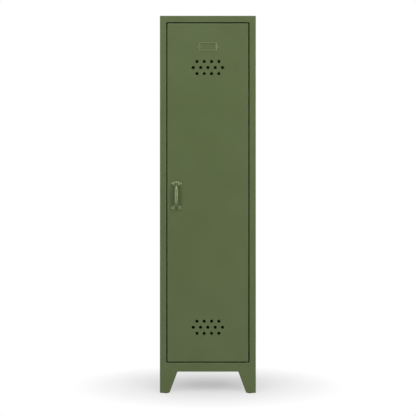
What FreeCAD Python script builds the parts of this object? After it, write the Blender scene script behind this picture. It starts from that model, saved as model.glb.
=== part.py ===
import FreeCAD, Part
import os
import re
import Sketcher

# Skinny steel locker: a folded sheet carcass on four legs, one inset door on pivot pins,
# a bow handle, a card holder, two groups of vent holes, a hat shelf and a coat rail.
# X is right, -Y is the front, +Z is up. The origin is on the floor, under the middle of
# the whole footprint, handle included. All sizes are millimetres.

doc = FreeCAD.newDocument("skinny_locker")
sizes = doc.addObject("Spreadsheet::Sheet", "Sizes")

# Driving sizes: name, value, what it measures
driving_sizes = [
    ("overall_height", 1830, "floor to top of the carcass"),
    ("overall_width", 465, "carcass, side to side"),
    ("overall_depth", 460, "carcass, front face to back face"),
    ("sheet_gauge", 1.0, "steel sheet of the carcass"),
    ("bend_inner_radius", 1.5, "inside radius of every folded edge"),
    ("frame_fold_depth", 25, "edges folded back round the front frame and the back panel"),
    ("side_fold_depth", 15, "edges folded in round a side panel"),
    ("tray_fold_depth", 18, "edges folded down on top and floor panels"),
    ("upright_width", 31, "front frame beside the door"),
    ("top_rail_height", 32, "front frame above the door"),
    ("bottom_rail_height", 43.5, "front frame below the door"),
    ("opening_corner_radius", 6, "corners of the door opening"),
    ("leg_height", 104.5, "floor to the cut-out between the legs"),
    ("leg_top_width", 85, "leg where it meets the carcass"),
    ("leg_foot_width", 46.5, "leg at its foot, seen from front or back"),
    ("leg_side_overhang", 3, "side of a leg beyond the folded edge at the foot"),
    ("foot_outer_corner", 3.5, "rounded outer corner of a foot"),
    ("foot_inner_corner", 8, "rounded inner corner of a foot"),
    ("arch_corner_radius", 4, "corners of the cut-out between the legs"),
    ("floor_lap", 8, "floor panel under the folded sill"),
    ("wall_hole_radius", 3.5, "wall fixing holes in the back panel"),
    ("wall_hole_spacing", 300, "wall fixing holes, centre to centre"),
    ("wall_hole_drop", 90, "wall fixing holes below the top"),
    ("foot_glide_height", 1.5, "plastic glide under a leg"),
    ("foot_glide_radius", 12, "plastic glide, outer"),
    ("foot_glide_inset", 28, "glide centre from the side of the carcass"),
    ("foot_glide_setback", 13, "glide centre from the front or back face"),
    ("glide_stem_radius", 4, "push-in stem of a glide"),
    ("glide_barb_radius", 5, "barb that holds the glide in its hole"),
    ("glide_barb_height", 5, "barb above the sheet"),
    ("push_fit", 0.05, "radial room round fixed pins, rivets and screws"),
    ("running_fit", 0.05, "radial room of the hinge pins in their bushes"),
    ("door_gap", 5, "gap round the door"),
    ("door_gauge", 1.0, "steel sheet of the door"),
    ("door_thickness", 20, "door, front face to back lip"),
    ("door_lip", 14, "inner lip folded round the back of the door"),
    ("door_corner_radius", 4, "corners of the door"),
    ("lip_notch", 19, "lip cut away at each corner of the door"),
    ("vent_radius", 7, "round vent holes"),
    ("vent_pitch", 35.4, "vent holes along a row"),
    ("vent_row_pitch", 29.4, "rows of vent holes"),
    ("upper_vent_drop", 214.5, "middle of the upper vent group below the door's top edge"),
    ("lower_vent_rise", 167, "middle of the lower vent group above the door's bottom edge"),
    ("stiffener_clearance", 75, "door stiffener ends from the middle of each vent group"),
    ("stiffener_web", 60, "door stiffener, width of its raised web"),
    ("stiffener_flange", 14, "door stiffener, flanges welded to the door"),
    ("stiffener_depth", 15, "door stiffener, height of the hat section"),
    ("pivot_inset", 7.5, "hinge axis from the door's right edge"),
    ("pivot_setback", 9, "hinge axis behind the door's front face"),
    ("pin_radius", 2.5, "hinge pins"),
    ("pin_engagement", 20, "length of hinge pin inside the door"),
    ("pin_head_radius", 6, "heads of the hinge pins"),
    ("pin_head_height", 2.5, "head of the upper hinge pin"),
    ("pin_collar_radius", 4, "collar of the lower hinge pin, in the gap under the door"),
    ("pin_shank_radius", 3.2, "riveted shank of the lower hinge pin"),
    ("pin_clench_height", 1.5, "clenched end of the lower hinge pin"),
    ("washer_radius", 4.5, "thrust washer under the door"),
    ("washer_thickness", 1.5, "thrust washer under the door"),
    ("washer_play", 0.1, "thrust washer to the door"),
    ("bush_wall", 1.3, "hinge bush round the pin"),
    ("bush_head_radius", 5.2, "head of a hinge bush"),
    ("bush_head_height", 1.5, "head of a hinge bush"),
    ("pivot_plate_thickness", 3, "steel plate that carries a bush in the door"),
    ("pivot_plate_length", 34, "pivot plate, along the door"),
    ("pivot_plate_margin", 1.4, "pivot plate clear of the fold beside it"),
    ("pivot_plate_round", 2.5, "edge of a pivot plate in the corner of the door"),
    ("handle_reach", 36, "handle in front of the door"),
    ("handle_inset", 44.5, "handle from the door's left edge"),
    ("handle_rise", 803, "middle of the handle above the door's bottom edge"),
    ("handle_foot_spacing", 114, "middles of the handle's two feet"),
    ("handle_foot_width", 59, "lens-shaped foot, across, before its tips are rounded"),
    ("handle_foot_height", 28, "lens-shaped foot, along the handle"),
    ("handle_foot_thickness", 7.5, "domed foot at its middle"),
    ("handle_foot_round", 4.5, "rounded rim of a domed foot"),
    ("handle_foot_tip_radius", 5, "rounded tips of a foot"),
    ("handle_neck_length", 2.5, "straight neck of the bow before its bend"),
    ("handle_neck_width", 13, "bow where it leaves a foot, across"),
    ("handle_neck_thickness", 12, "bow where it leaves a foot"),
    ("handle_grip_width", 20, "bow at its middle, across"),
    ("handle_grip_thickness", 11, "bow at its middle"),
    ("handle_screw_spacing", 43, "screws in one foot, centre to centre"),
    ("handle_screw_offset", 2.5, "screws beyond the middle of the foot"),
    ("handle_screw_seat", 4, "foot under a screw head, where it is faced flat"),
    ("handle_seat_radius", 5, "flat round seat of a screw head"),
    ("screw_radius", 2, "machine screws of the handle"),
    ("screw_head_radius", 3.8, "dome heads of the handle screws"),
    ("screw_head_height", 2.4, "dome heads of the handle screws"),
    ("screw_head_round", 2, "rounding of a dome head"),
    ("screw_tail", 1.5, "screw beyond its nut"),
    ("nut_flats", 7, "hex nuts behind the door, across flats"),
    ("nut_thickness", 3.2, "hex nuts behind the door"),
    ("label_width", 84.5, "card holder, outer"),
    ("label_height", 42.7, "card holder, outer"),
    ("label_drop", 113.5, "middle of the card holder below the door's top edge"),
    ("label_rail", 5.5, "rim round the card window"),
    ("label_rise", 3, "card holder in front of the door"),
    ("label_slot", 1.4, "card slot behind the rim"),
    ("label_wall", 2, "edges of the card holder beside the slot"),
    ("label_corner_radius", 2.5, "corners of the card holder"),
    ("label_edge_round", 2.2, "rounded rim of the card holder"),
    ("label_ear_length", 11, "riveting ears beside the card holder"),
    ("label_ear_height", 11, "riveting ears beside the card holder"),
    ("label_ear_thickness", 0.8, "riveting ears beside the card holder"),
    ("label_ear_round", 4.6, "rounded ends of the ears"),
    ("label_rivet_spacing", 95.5, "rivets of the card holder, centre to centre"),
    ("rivet_radius", 1.6, "rivet shanks"),
    ("rivet_head_radius", 2.8, "rivet heads"),
    ("rivet_head_height", 1.3, "rivet heads"),
    ("rivet_head_round", 1, "rounding of a rivet head"),
    ("strike_gauge", 1.5, "door strike angle behind the left upright"),
    ("strike_tail", 14, "strike angle along the folded jamb"),
    ("strike_reach", 20, "strike angle behind the door"),
    ("strike_margin", 30, "strike angle short of the opening, top and bottom"),
    ("bumper_radius", 5, "rubber bumpers"),
    ("bumper_stem_radius", 2.5, "stem of a bumper"),
    ("bumper_barb_radius", 3.2, "barb behind the strike"),
    ("bumper_barb_height", 3, "barb behind the strike"),
    ("bumper_round", 1, "rounded rim of a bumper"),
    ("bumper_margin", 130, "bumpers from the ends of the opening"),
    ("closing_play", 0.3, "closed door to bumpers and catch"),
    ("catch_width", 13, "magnetic catch housing, across"),
    ("catch_height", 64, "magnetic catch housing, along the strike"),
    ("catch_depth", 11, "magnetic catch housing behind the strike"),
    ("catch_nose_width", 10, "nose of the catch through the strike"),
    ("catch_nose_height", 36, "nose of the catch through the strike"),
    ("catch_nose_play", 0.3, "nose in its window"),
    ("catch_nose_step", 1.2, "pole plates in front of the nose"),
    ("catch_wall", 1.6, "walls of the catch housing"),
    ("catch_fit", 0.15, "magnet and pole plates in the housing"),
    ("pole_plate_thickness", 1.2, "steel pole plates of the catch"),
    ("magnet_step", 1, "magnet behind the edge of the pole plates"),
    ("catch_screw_spacing", 52, "catch screws, centre to centre"),
    ("catch_screw_radius", 1.5, "catch screws"),
    ("catch_screw_head_radius", 2.9, "catch screw heads"),
    ("catch_screw_head_height", 1.8, "catch screw heads"),
    ("catch_screw_head_round", 1.2, "rounding of a catch screw head"),
    ("catch_screw_length", 9, "catch screws below the head"),
    ("shelf_height", 1480, "floor to the top of the hat shelf"),
    ("shelf_gauge", 1.0, "steel sheet of the shelf"),
    ("shelf_fold_depth", 22, "front and back edges of the shelf"),
    ("shelf_setback", 70, "shelf behind the front face"),
    ("shelf_play", 1, "shelf clear of the side panels and the back"),
    ("bearer_gauge", 1.5, "shelf bearer angles"),
    ("bearer_leg", 18, "both legs of a shelf bearer"),
    ("bearer_margin", 25, "bearers short of the shelf's edges"),
    ("rail_radius", 11, "coat rail tube, outer"),
    ("rail_wall", 1.2, "coat rail tube"),
    ("rail_drop", 55, "coat rail below the shelf"),
    ("rail_end_room", 18, "coat rail ends from the side panels"),
    ("rail_bracket_inset", 45, "rail brackets from the side panels"),
    ("rail_bracket_thickness", 4, "rail bracket plate"),
    ("rail_bracket_ring", 4, "ring of the bracket round the rail"),
    ("rail_bracket_neck", 16, "neck of the rail bracket"),
    ("rail_fit", 0.15, "rail in its brackets and caps in the rail"),
    ("rail_flange_length", 50, "flange of a rail bracket under the shelf"),
    ("rail_flange_width", 16, "flange of a rail bracket under the shelf"),
    ("rail_flange_thickness", 2.5, "flange of a rail bracket under the shelf"),
    ("rail_rivet_spacing", 34, "rivets of one rail bracket"),
    ("rail_cap_thickness", 3, "end caps of the rail"),
    ("rail_cap_overhang", 0.8, "end caps beyond the tube"),
    ("rail_cap_spigot", 10, "end caps inside the tube"),
]
size_names = {name for name, value, note in driving_sizes}
for row, (name, value, note) in enumerate(driving_sizes, start=1):
    sizes.set(f"A{row}", note)
    sizes.set(f"B{row}", str(value))
    sizes.setAlias(f"B{row}", name)
doc.recompute()

# Places and sizes that follow from the driving ones
half_width = "(overall_width / 2)"
front_y = "((handle_reach - overall_depth) / 2)"
back_y = f"({front_y} + overall_depth)"
bend_radius = "(bend_inner_radius + sheet_gauge)"
sill_z = "(leg_height + bottom_rail_height)"
head_z = "(overall_height - top_rail_height)"
opening_half = f"({half_width} - upright_width)"
inner_half = f"({half_width} - 2 * sheet_gauge)"
side_leg_foot = "(frame_fold_depth + leg_side_overhang)"
side_foot_z = "(foot_glide_height + foot_outer_corner)"
door_half = f"({opening_half} - door_gap)"
door_bottom = f"({sill_z} + door_gap)"
door_top = f"({head_z} - door_gap)"
pivot_x = f"({door_half} - pivot_inset)"
pivot_y = f"({front_y} + pivot_setback)"
bush_radius = "(pin_radius + running_fit + bush_wall)"
upper_vent_z = f"({door_top} - upper_vent_drop)"
lower_vent_z = f"({door_bottom} + lower_vent_rise)"
handle_x = f"(handle_inset - {door_half})"
handle_z = f"({door_bottom} + handle_rise)"
handle_foot_z = "(handle_foot_spacing / 2)"
handle_screw_z = f"({handle_foot_z} + handle_screw_offset)"
label_z = f"({door_top} - label_drop)"
strike_y = f"({front_y} + frame_fold_depth)"
strike_room = "(frame_fold_depth - door_thickness)"
latch_x = f"(door_lip / 2 - {door_half})"
shelf_front = "shelf_setback"
shelf_back = "(overall_depth - 2 * sheet_gauge - shelf_play)"
shelf_half = f"({inner_half} - bearer_gauge - shelf_play)"
shelf_under_z = "(shelf_height - shelf_gauge)"
rail_y = f"({front_y} + ({shelf_front} + {shelf_back}) / 2)"
rail_z = f"({shelf_under_z} - rail_drop)"
rail_half = f"({inner_half} - rail_end_room)"
rail_bracket_x = f"({inner_half} - rail_bracket_inset)"

# How near an edge or face has to lie to count as lying at a place
touch = 1e-4

parts = {}


# Formulas and bound values

def bound(formula):
    """Point every size name in a formula at its cell."""
    def cell(word):
        return f"Sizes.{word.group()}" if word.group() in size_names else word.group()
    return re.sub(r"[a-z][a-z_]*", cell, formula)


def number(formula):
    """Present value of a formula."""
    return float(sizes.evalExpression(bound(formula)))


def place(thing, x="0", y="0", z="0"):
    """Tie a piece's place to the sizes."""
    for axis, formula in zip("xyz", (x, y, z)):
        thing.setExpression(f"Placement.Base.{axis}", bound(formula))


# Sketches

def new_body(label):
    """Empty body that becomes one piece."""
    body = doc.addObject("PartDesign::Body", label)
    body.Label = label
    parts[label] = body
    return body


def sketch_on(body, role, lift="0"):
    """Sketch on one of the body's own planes, lifted along the plane's normal."""
    plane = next(item for item in body.Origin.OriginFeatures if item.Role == role)
    sketch = body.newObject("Sketcher::SketchObject", f"{body.Name}_sketch")
    sketch.AttachmentSupport = [(plane, "")]
    sketch.MapMode = "FlatFace"
    sketch.setExpression("AttachmentOffset.Base.z", bound(lift))
    return sketch


def pin_point(sketch, item, point, x=None, y=None):
    """Fix a sketch point's coordinates by formulas."""
    for kind, formula in (("DistanceX", x), ("DistanceY", y)):
        if formula is not None:
            rule = Sketcher.Constraint(kind, -1, 1, item, point, number(formula))
            sketch.setExpression(f"Constraints[{sketch.addConstraint(rule)}]", bound(formula))


def set_radius(sketch, item, formula):
    """Fix the radius of a circle or arc by a formula."""
    rule = Sketcher.Constraint("Radius", item, number(formula))
    sketch.setExpression(f"Constraints[{sketch.addConstraint(rule)}]", bound(formula))


def join(sketch, first, first_end, second, second_end):
    """Make two ends of sketch lines one point."""
    sketch.addConstraint(Sketcher.Constraint("Coincident", first, first_end, second, second_end))


def spot(x, y):
    """Sketch point at the present value of two formulas."""
    return FreeCAD.Vector(number(x), number(y), 0)


def outline(sketch, corners):
    """Closed run of straight lines through corners given as formulas."""
    first = sketch.GeometryCount
    ends = corners[1:] + corners[:1]
    for start, end in zip(corners, ends):
        sketch.addGeometry(Part.LineSegment(spot(*start), spot(*end)))
    for step, (x, y) in enumerate(corners):
        following = first + (step + 1) % len(corners)
        join(sketch, first + step, 2, following, 1)
        pin_point(sketch, first + step, 1, x, y)


def rectangle(sketch, left, right, bottom, top):
    """Upright rectangle between four formulas."""
    outline(sketch, [(left, bottom), (left, top), (right, top), (right, bottom)])


def circle(sketch, x, y, radius):
    """Circle about a point."""
    up = FreeCAD.Vector(0, 0, 1)
    item = sketch.addGeometry(Part.Circle(spot(x, y), up, number(radius)))
    pin_point(sketch, item, 3, x, y)
    set_radius(sketch, item, radius)


# Solid features

def pad(body, sketch, length, reverse=False):
    """Raise a sketch into a solid."""
    feature = body.newObject("PartDesign::Pad", f"{body.Name}_pad")
    feature.Profile = sketch
    feature.Reversed = reverse
    feature.setExpression("Length", bound(length))
    return settle(body, feature)


def pocket(body, sketch, length, reverse=False):
    """Cut a sketch into the solid, and make sure that it took something away."""
    before = body.Tip.Shape.Volume
    feature = body.newObject("PartDesign::Pocket", f"{body.Name}_pocket")
    feature.Profile = sketch
    feature.Reversed = reverse
    feature.setExpression("Length", bound(length))
    settle(body, feature)
    if not feature.Shape.Volume < before:
        raise RuntimeError(f"{body.Label}: a cut took nothing away")
    return feature


def revolve(body, role, axis, corners):
    """Turn a closed outline about a sketch axis."""
    sketch = sketch_on(body, role)
    outline(sketch, corners)
    feature = body.newObject("PartDesign::Revolution", f"{body.Name}_turn")
    feature.Profile = sketch
    feature.ReferenceAxis = (sketch, [axis])
    feature.Angle = 360
    return settle(body, feature)


def round_edges(body, radius, chosen):
    """Round the edges that a test picks out."""
    base = body.Tip
    names = [f"Edge{i}" for i, edge in enumerate(base.Shape.Edges, start=1) if chosen(edge)]
    feature = body.newObject("PartDesign::Fillet", f"{body.Name}_round")
    feature.Base = (base, names)
    feature.setExpression("Radius", bound(radius))
    return settle(body, feature)


def fold(body, gauge, open_face):
    """Hollow a block into folded sheet, open at the faces that a test picks out."""
    base = body.Tip
    names = [f"Face{i}" for i, face in enumerate(base.Shape.Faces, start=1) if open_face(face)]
    feature = body.newObject("PartDesign::Thickness", f"{body.Name}_fold")
    feature.Base = (base, names)
    feature.Reversed = True
    feature.setExpression("Value", bound(gauge))
    return settle(body, feature)


def settle(body, feature):
    """Make a feature the body's last one and build it."""
    body.Tip = feature
    doc.recompute()
    return feature


def lies_at(shape, axis, formula):
    """True for an edge or face that lies flat at one coordinate."""
    box = shape.BoundBox
    low = getattr(box, f"{axis}Min")
    high = getattr(box, f"{axis}Max")
    target = number(formula)
    return abs(low - target) < touch and abs(high - target) < touch


def runs_along(edge, axis):
    """True for a straight edge parallel to an axis."""
    box = edge.BoundBox
    return getattr(box, f"{axis}Length") > edge.Length - touch


def group(label, master, spots):
    """Copies of one small piece, kept as separate solids of one node."""
    copies = []
    for x, y, z in spots:
        copy = doc.addObject("App::Link", f"{label}_copy")
        copy.LinkedObject = master
        place(copy, x, y, z)
        copies.append(copy)
    node = doc.addObject("Part::Compound", label)
    node.Label = label
    node.Links = copies
    parts[label] = node


def master_body(label):
    """Body that is only copied, and isn't a piece by itself."""
    body = new_body(label)
    del parts[label]
    return body


# Front frame, one pressed sheet with its legs, and the back panel with the same outline

def legged_outline(sketch):
    """Carcass outline seen from the front, with its two tapered legs."""
    foot = f"({half_width} - leg_foot_width)"
    knee = f"({half_width} - leg_top_width)"
    outline(sketch, [
        (f"-{half_width}", "foot_glide_height"),
        (f"-{half_width}", "overall_height"),
        (half_width, "overall_height"),
        (half_width, "foot_glide_height"),
        (foot, "foot_glide_height"),
        (knee, "leg_height"),
        (f"-{knee}", "leg_height"),
        (f"-{foot}", "foot_glide_height"),
    ])


def round_legs(body):
    """Round the feet and the cut-out between the legs."""
    def outer(edge):
        return lies_at(edge, "X", half_width) or lies_at(edge, "X", f"-{half_width}")

    def at_foot(edge):
        return runs_along(edge, "Y") and lies_at(edge, "Z", "foot_glide_height")

    round_edges(body, "foot_outer_corner", lambda edge: at_foot(edge) and outer(edge))
    round_edges(body, "foot_inner_corner", lambda edge: at_foot(edge) and not outer(edge))
    round_edges(body, "arch_corner_radius",
                lambda edge: runs_along(edge, "Y") and lies_at(edge, "Z", "leg_height"))


def glide_holes(body, setback):
    """Holes for the glides in the folded undersides of both legs."""
    sketch = sketch_on(body, "XY_Plane", "foot_glide_height")
    reach = f"({half_width} - foot_glide_inset)"
    for x in (f"-{reach}", reach):
        circle(sketch, x, setback, "glide_stem_radius + push_fit")
    pocket(body, sketch, "2 * sheet_gauge", reverse=True)


def make_front_frame():
    body = new_body("front_frame")
    face = sketch_on(body, "XZ_Plane")
    legged_outline(face)
    rectangle(face, f"-{opening_half}", opening_half, sill_z, head_z)
    pad(body, face, "frame_fold_depth", reverse=True)
    round_legs(body)
    round_edges(body, "opening_corner_radius", lambda edge: runs_along(edge, "Y") and (
        lies_at(edge, "X", opening_half) or lies_at(edge, "X", f"-{opening_half}")))
    round_edges(body, bend_radius, lambda edge: lies_at(edge, "Y", "0"))
    fold(body, "sheet_gauge", lambda side: lies_at(side, "Y", "frame_fold_depth"))
    glide_holes(body, "foot_glide_setback")
    lower = sketch_on(body, "XY_Plane", sill_z)
    circle(lower, pivot_x, "pivot_setback", "pin_shank_radius + push_fit")
    pocket(body, lower, "2 * sheet_gauge")
    upper = sketch_on(body, "XY_Plane", head_z)
    circle(upper, pivot_x, "pivot_setback", "pin_radius + push_fit")
    pocket(body, upper, "2 * sheet_gauge", reverse=True)
    place(body, y=front_y)


def make_back_panel():
    body = new_body("back_panel")
    face = sketch_on(body, "XZ_Plane")
    legged_outline(face)
    pad(body, face, "frame_fold_depth")
    round_legs(body)
    round_edges(body, bend_radius, lambda edge: lies_at(edge, "Y", "0"))
    fold(body, "sheet_gauge", lambda side: lies_at(side, "Y", "-frame_fold_depth"))
    glide_holes(body, "-foot_glide_setback")
    fixings = sketch_on(body, "XZ_Plane")
    for x in ("-wall_hole_spacing / 2", "wall_hole_spacing / 2"):
        circle(fixings, x, "overall_height - wall_hole_drop", "wall_hole_radius")
    pocket(body, fixings, "2 * sheet_gauge", reverse=True)
    place(body, y=back_y)


# Side panels, folded sheets that sit inside the edges of the front frame and the back panel

def make_side_panel(label, side):
    body = new_body(label)
    face = sketch_on(body, "YZ_Plane")
    front = "sheet_gauge"
    back = "(overall_depth - sheet_gauge)"
    top = "(overall_height - sheet_gauge - bend_inner_radius)"
    outline(face, [
        (front, side_foot_z),
        (front, top),
        (back, top),
        (back, side_foot_z),
        (f"overall_depth - {side_leg_foot}", side_foot_z),
        ("overall_depth - leg_top_width", "leg_height"),
        ("leg_top_width", "leg_height"),
        (side_leg_foot, side_foot_z),
    ])
    pad(body, face, "side_fold_depth", reverse=side > 0)
    round_edges(body, "arch_corner_radius",
                lambda edge: runs_along(edge, "X") and lies_at(edge, "Z", "leg_height"))
    round_edges(body, bend_radius, lambda edge: lies_at(edge, "X", "0")
                and not lies_at(edge, "Z", top) and not lies_at(edge, "Z", side_foot_z))
    inner = f"{-side} * side_fold_depth"
    fold(body, "sheet_gauge", lambda wall: lies_at(wall, "X", inner)
         or lies_at(wall, "Z", top) or lies_at(wall, "Z", side_foot_z))
    place(body, x=f"{side} * ({half_width} - sheet_gauge)", y=front_y)


# Top, floor and shelf, trays folded down round their edges

def make_tray(label, half, front, back, top, gauge, depth, open_ends):
    body = new_body(label)
    sheet = sketch_on(body, "XY_Plane")
    rectangle(sheet, f"-{half}", half, front, back)
    pad(body, sheet, depth, reverse=True)
    if not open_ends:
        round_edges(body, f"bend_inner_radius + {gauge}", lambda edge: runs_along(edge, "Z"))
    round_edges(body, f"bend_inner_radius + {gauge}", lambda edge: lies_at(edge, "Z", "0")
                and not (open_ends and runs_along(edge, "Y")))
    fold(body, gauge, lambda wall: lies_at(wall, "Z", f"-{depth}")
         or (open_ends and (lies_at(wall, "X", half) or lies_at(wall, "X", f"-{half}"))))
    place(body, y=front_y, z=top)
    return body


def make_trays():
    behind = "(overall_depth - 2 * sheet_gauge)"
    make_tray("top_panel", inner_half, "(2 * sheet_gauge)", behind,
              "overall_height - sheet_gauge", "sheet_gauge", "tray_fold_depth", False)
    make_tray("floor_panel", inner_half, "(frame_fold_depth - floor_lap)", behind,
              f"{sill_z} - sheet_gauge", "sheet_gauge", "tray_fold_depth", False)
    shelf = make_tray("hat_shelf", shelf_half, shelf_front, shelf_back,
                      "shelf_height", "shelf_gauge", "shelf_fold_depth", True)
    holes = sketch_on(shelf, "XY_Plane")
    for x, y in rail_rivet_spots():
        circle(holes, x, f"{y} - {front_y}", "rivet_radius + push_fit")
    pocket(shelf, holes, "2 * shelf_gauge")


# Foot glides, turned plastic buttons pushed into the folded feet

def make_glide(label, side, end):
    body = new_body(label)
    barb_base = "(foot_glide_height + sheet_gauge)"
    revolve(body, "XZ_Plane", "V_Axis", [
        ("0", "0"),
        ("foot_glide_radius", "0"),
        ("foot_glide_radius", "foot_glide_height"),
        ("glide_stem_radius", "foot_glide_height"),
        ("glide_stem_radius", barb_base),
        ("glide_barb_radius", barb_base),
        ("glide_stem_radius", f"{barb_base} + glide_barb_height"),
        ("0", f"{barb_base} + glide_barb_height"),
    ])
    near = f"{front_y} + foot_glide_setback"
    far = f"{back_y} - foot_glide_setback"
    place(body, x=f"{side} * ({half_width} - foot_glide_inset)", y=near if end < 0 else far)


# Hinge: two fixed pins in the frame, a thrust washer, and a bush on a plate at each end of the door

def make_hinge():
    collar = "(door_gap - washer_thickness - washer_play)"
    lower = new_body("lower_hinge_pin")
    revolve(lower, "XZ_Plane", "V_Axis", [
        ("0", "-sheet_gauge - pin_clench_height"),
        ("pin_head_radius", "-sheet_gauge - pin_clench_height"),
        ("pin_head_radius", "-sheet_gauge"),
        ("pin_shank_radius", "-sheet_gauge"),
        ("pin_shank_radius", "0"),
        ("pin_collar_radius", "0"),
        ("pin_collar_radius", collar),
        ("pin_radius", collar),
        ("pin_radius", "door_gap + pin_engagement"),
        ("0", "door_gap + pin_engagement"),
    ])
    place(lower, pivot_x, pivot_y, sill_z)
    upper = new_body("upper_hinge_pin")
    revolve(upper, "XZ_Plane", "V_Axis", [
        ("0", "-door_gap - pin_engagement"),
        ("pin_radius", "-door_gap - pin_engagement"),
        ("pin_radius", "sheet_gauge"),
        ("pin_head_radius", "sheet_gauge"),
        ("pin_head_radius", "sheet_gauge + pin_head_height"),
        ("0", "sheet_gauge + pin_head_height"),
    ])
    place(upper, pivot_x, pivot_y, head_z)
    washer = new_body("thrust_washer")
    revolve(washer, "XZ_Plane", "V_Axis", [
        ("pin_radius + running_fit", "0"),
        ("washer_radius", "0"),
        ("washer_radius", "washer_thickness"),
        ("pin_radius + running_fit", "washer_thickness"),
    ])
    place(washer, pivot_x, pivot_y, f"{sill_z} + {collar}")
    make_pivot("lower", door_bottom, 1)
    make_pivot("upper", door_top, -1)


def make_pivot(end, edge_z, inward):
    """Plate and bush inside one end of the door; inward is +1 at the bottom, -1 at the top."""
    plate = new_body(f"{end}_pivot_plate")
    sheet = sketch_on(plate, "XY_Plane")
    right = "(pivot_inset - door_gauge - pivot_plate_margin)"
    near = "(door_gauge + bend_inner_radius - pivot_setback)"
    far = "(door_thickness - door_gauge - bend_inner_radius - pivot_setback)"
    rectangle(sheet, f"{right} - pivot_plate_length", right, near, far)
    pad(plate, sheet, "pivot_plate_thickness", reverse=inward < 0)
    round_edges(plate, "pivot_plate_round",
                lambda edge: runs_along(edge, "Y") and lies_at(edge, "X", right) and lies_at(edge, "Z", "0"))
    bore = sketch_on(plate, "XY_Plane")
    circle(bore, "0", "0", f"{bush_radius} + push_fit")
    pocket(plate, bore, "2 * pivot_plate_thickness", reverse=inward > 0)
    place(plate, pivot_x, pivot_y, f"{edge_z} + {inward} * door_gauge")
    bush = new_body(f"{end}_hinge_bush")
    neck = f"{inward} * (door_gauge + pivot_plate_thickness)"
    head = f"{inward} * (door_gauge + pivot_plate_thickness + bush_head_height)"
    revolve(bush, "XZ_Plane", "V_Axis", [
        ("pin_radius + running_fit", "0"),
        (bush_radius, "0"),
        (bush_radius, neck),
        ("bush_head_radius", neck),
        ("bush_head_radius", head),
        ("pin_radius + running_fit", head),
    ])
    place(bush, pivot_x, pivot_y, edge_z)


# Door, a folded pan with inner lips, two groups of vent holes and a welded hat section

def make_door_panel():
    body = new_body("door_panel")
    face = sketch_on(body, "XZ_Plane")
    rectangle(face, f"-{door_half}", door_half, door_bottom, door_top)
    pad(body, face, "door_thickness", reverse=True)
    round_edges(body, "door_corner_radius", lambda edge: runs_along(edge, "Y"))
    round_edges(body, "bend_inner_radius + door_gauge", lambda edge: lies_at(edge, "Y", "0"))
    fold(body, "door_gauge", lambda side: lies_at(side, "Y", "door_thickness"))
    add_door_lips(body)
    add_vents(body)
    fixings = sketch_on(body, "XZ_Plane")
    for x, z in handle_screw_spots():
        circle(fixings, x, z, "screw_radius + push_fit")
    for x in ("-label_rivet_spacing / 2", "label_rivet_spacing / 2"):
        circle(fixings, x, label_z, "rivet_radius + push_fit")
    pocket(body, fixings, "2 * door_gauge")
    for edge_z, upward in ((door_bottom, True), (door_top, False)):
        seat = sketch_on(body, "XY_Plane", edge_z)
        circle(seat, pivot_x, "pivot_setback", f"{bush_radius} + push_fit")
        pocket(body, seat, "2 * door_gauge", reverse=upward)
    place(body, y=front_y)


def add_door_lips(body):
    """Lips folded in round the back of the door, notched at the corners."""
    lips = sketch_on(body, "XZ_Plane", "-door_thickness")
    edge = f"({door_half} - door_gauge / 2)"
    rim = f"({door_half} - door_lip)"
    end = f"({door_half} - lip_notch)"
    foot = f"({door_bottom} + lip_notch)"
    head = f"({door_top} - lip_notch)"
    rectangle(lips, f"-{edge}", f"-{rim}", foot, head)
    rectangle(lips, rim, edge, foot, head)
    rectangle(lips, f"-{end}", end, f"{door_bottom} + door_gauge / 2", f"{door_bottom} + door_lip")
    rectangle(lips, f"-{end}", end, f"{door_top} - door_lip", f"{door_top} - door_gauge / 2")
    pad(body, lips, "door_gauge")


def add_vents(body):
    """Rows of four, five and four holes, once at the bottom and once at the top."""
    holes = sketch_on(body, "XZ_Plane")
    for row, count in enumerate((4, 5, 4), start=-1):
        for step in range(count):
            x = f"{step - (count - 1) / 2} * vent_pitch"
            circle(holes, x, f"{lower_vent_z} + {row} * vent_row_pitch", "vent_radius")
    lower = pocket(body, holes, "2 * door_gauge")
    both = body.newObject("PartDesign::LinearPattern", "door_panel_vents")
    both.Originals = [lower]
    both.Direction = (holes, ["V_Axis"])
    both.Occurrences = 2
    both.setExpression("Length", bound(f"{upper_vent_z} - {lower_vent_z}"))
    settle(body, both)


def make_door_stiffener():
    body = new_body("door_stiffener")
    section = sketch_on(body, "XY_Plane")
    web = "(stiffener_web / 2)"
    rim = f"({web} + stiffener_flange)"
    wall = f"({web} - door_gauge)"
    crown = "(stiffener_depth - door_gauge)"
    outline(section, [
        (f"-{rim}", "0"),
        (f"-{wall}", "0"),
        (f"-{wall}", crown),
        (wall, crown),
        (wall, "0"),
        (rim, "0"),
        (rim, "door_gauge"),
        (web, "door_gauge"),
        (web, "stiffener_depth"),
        (f"-{web}", "stiffener_depth"),
        (f"-{web}", "door_gauge"),
        (f"-{rim}", "door_gauge"),
    ])
    pad(body, section, f"{upper_vent_z} - {lower_vent_z} - 2 * stiffener_clearance")
    place(body, "0", f"{front_y} + door_gauge", f"{lower_vent_z} + stiffener_clearance")


# Bow handle: two lens-shaped feet and an oval bar that swells towards the grip

def lens(sketch, z):
    """Two arcs that meet in points at both ends of a foot."""
    tip = "(handle_foot_width / 2)"
    rise = "(handle_foot_height / 2)"
    radius = f"(({tip} ^ 2 + {rise} ^ 2) / (2 * {rise}))"
    for begin, crown, end in ((tip, f"{z} + {rise}", f"-{tip}"), (f"-{tip}", f"{z} - {rise}", tip)):
        arc = sketch.addGeometry(Part.Arc(spot(begin, z), spot("0", crown), spot(end, z)))
        pin_point(sketch, arc, 1, begin, z)
        set_radius(sketch, arc, radius)
    join(sketch, arc - 1, 2, arc, 1)
    join(sketch, arc, 2, arc - 1, 1)


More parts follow.
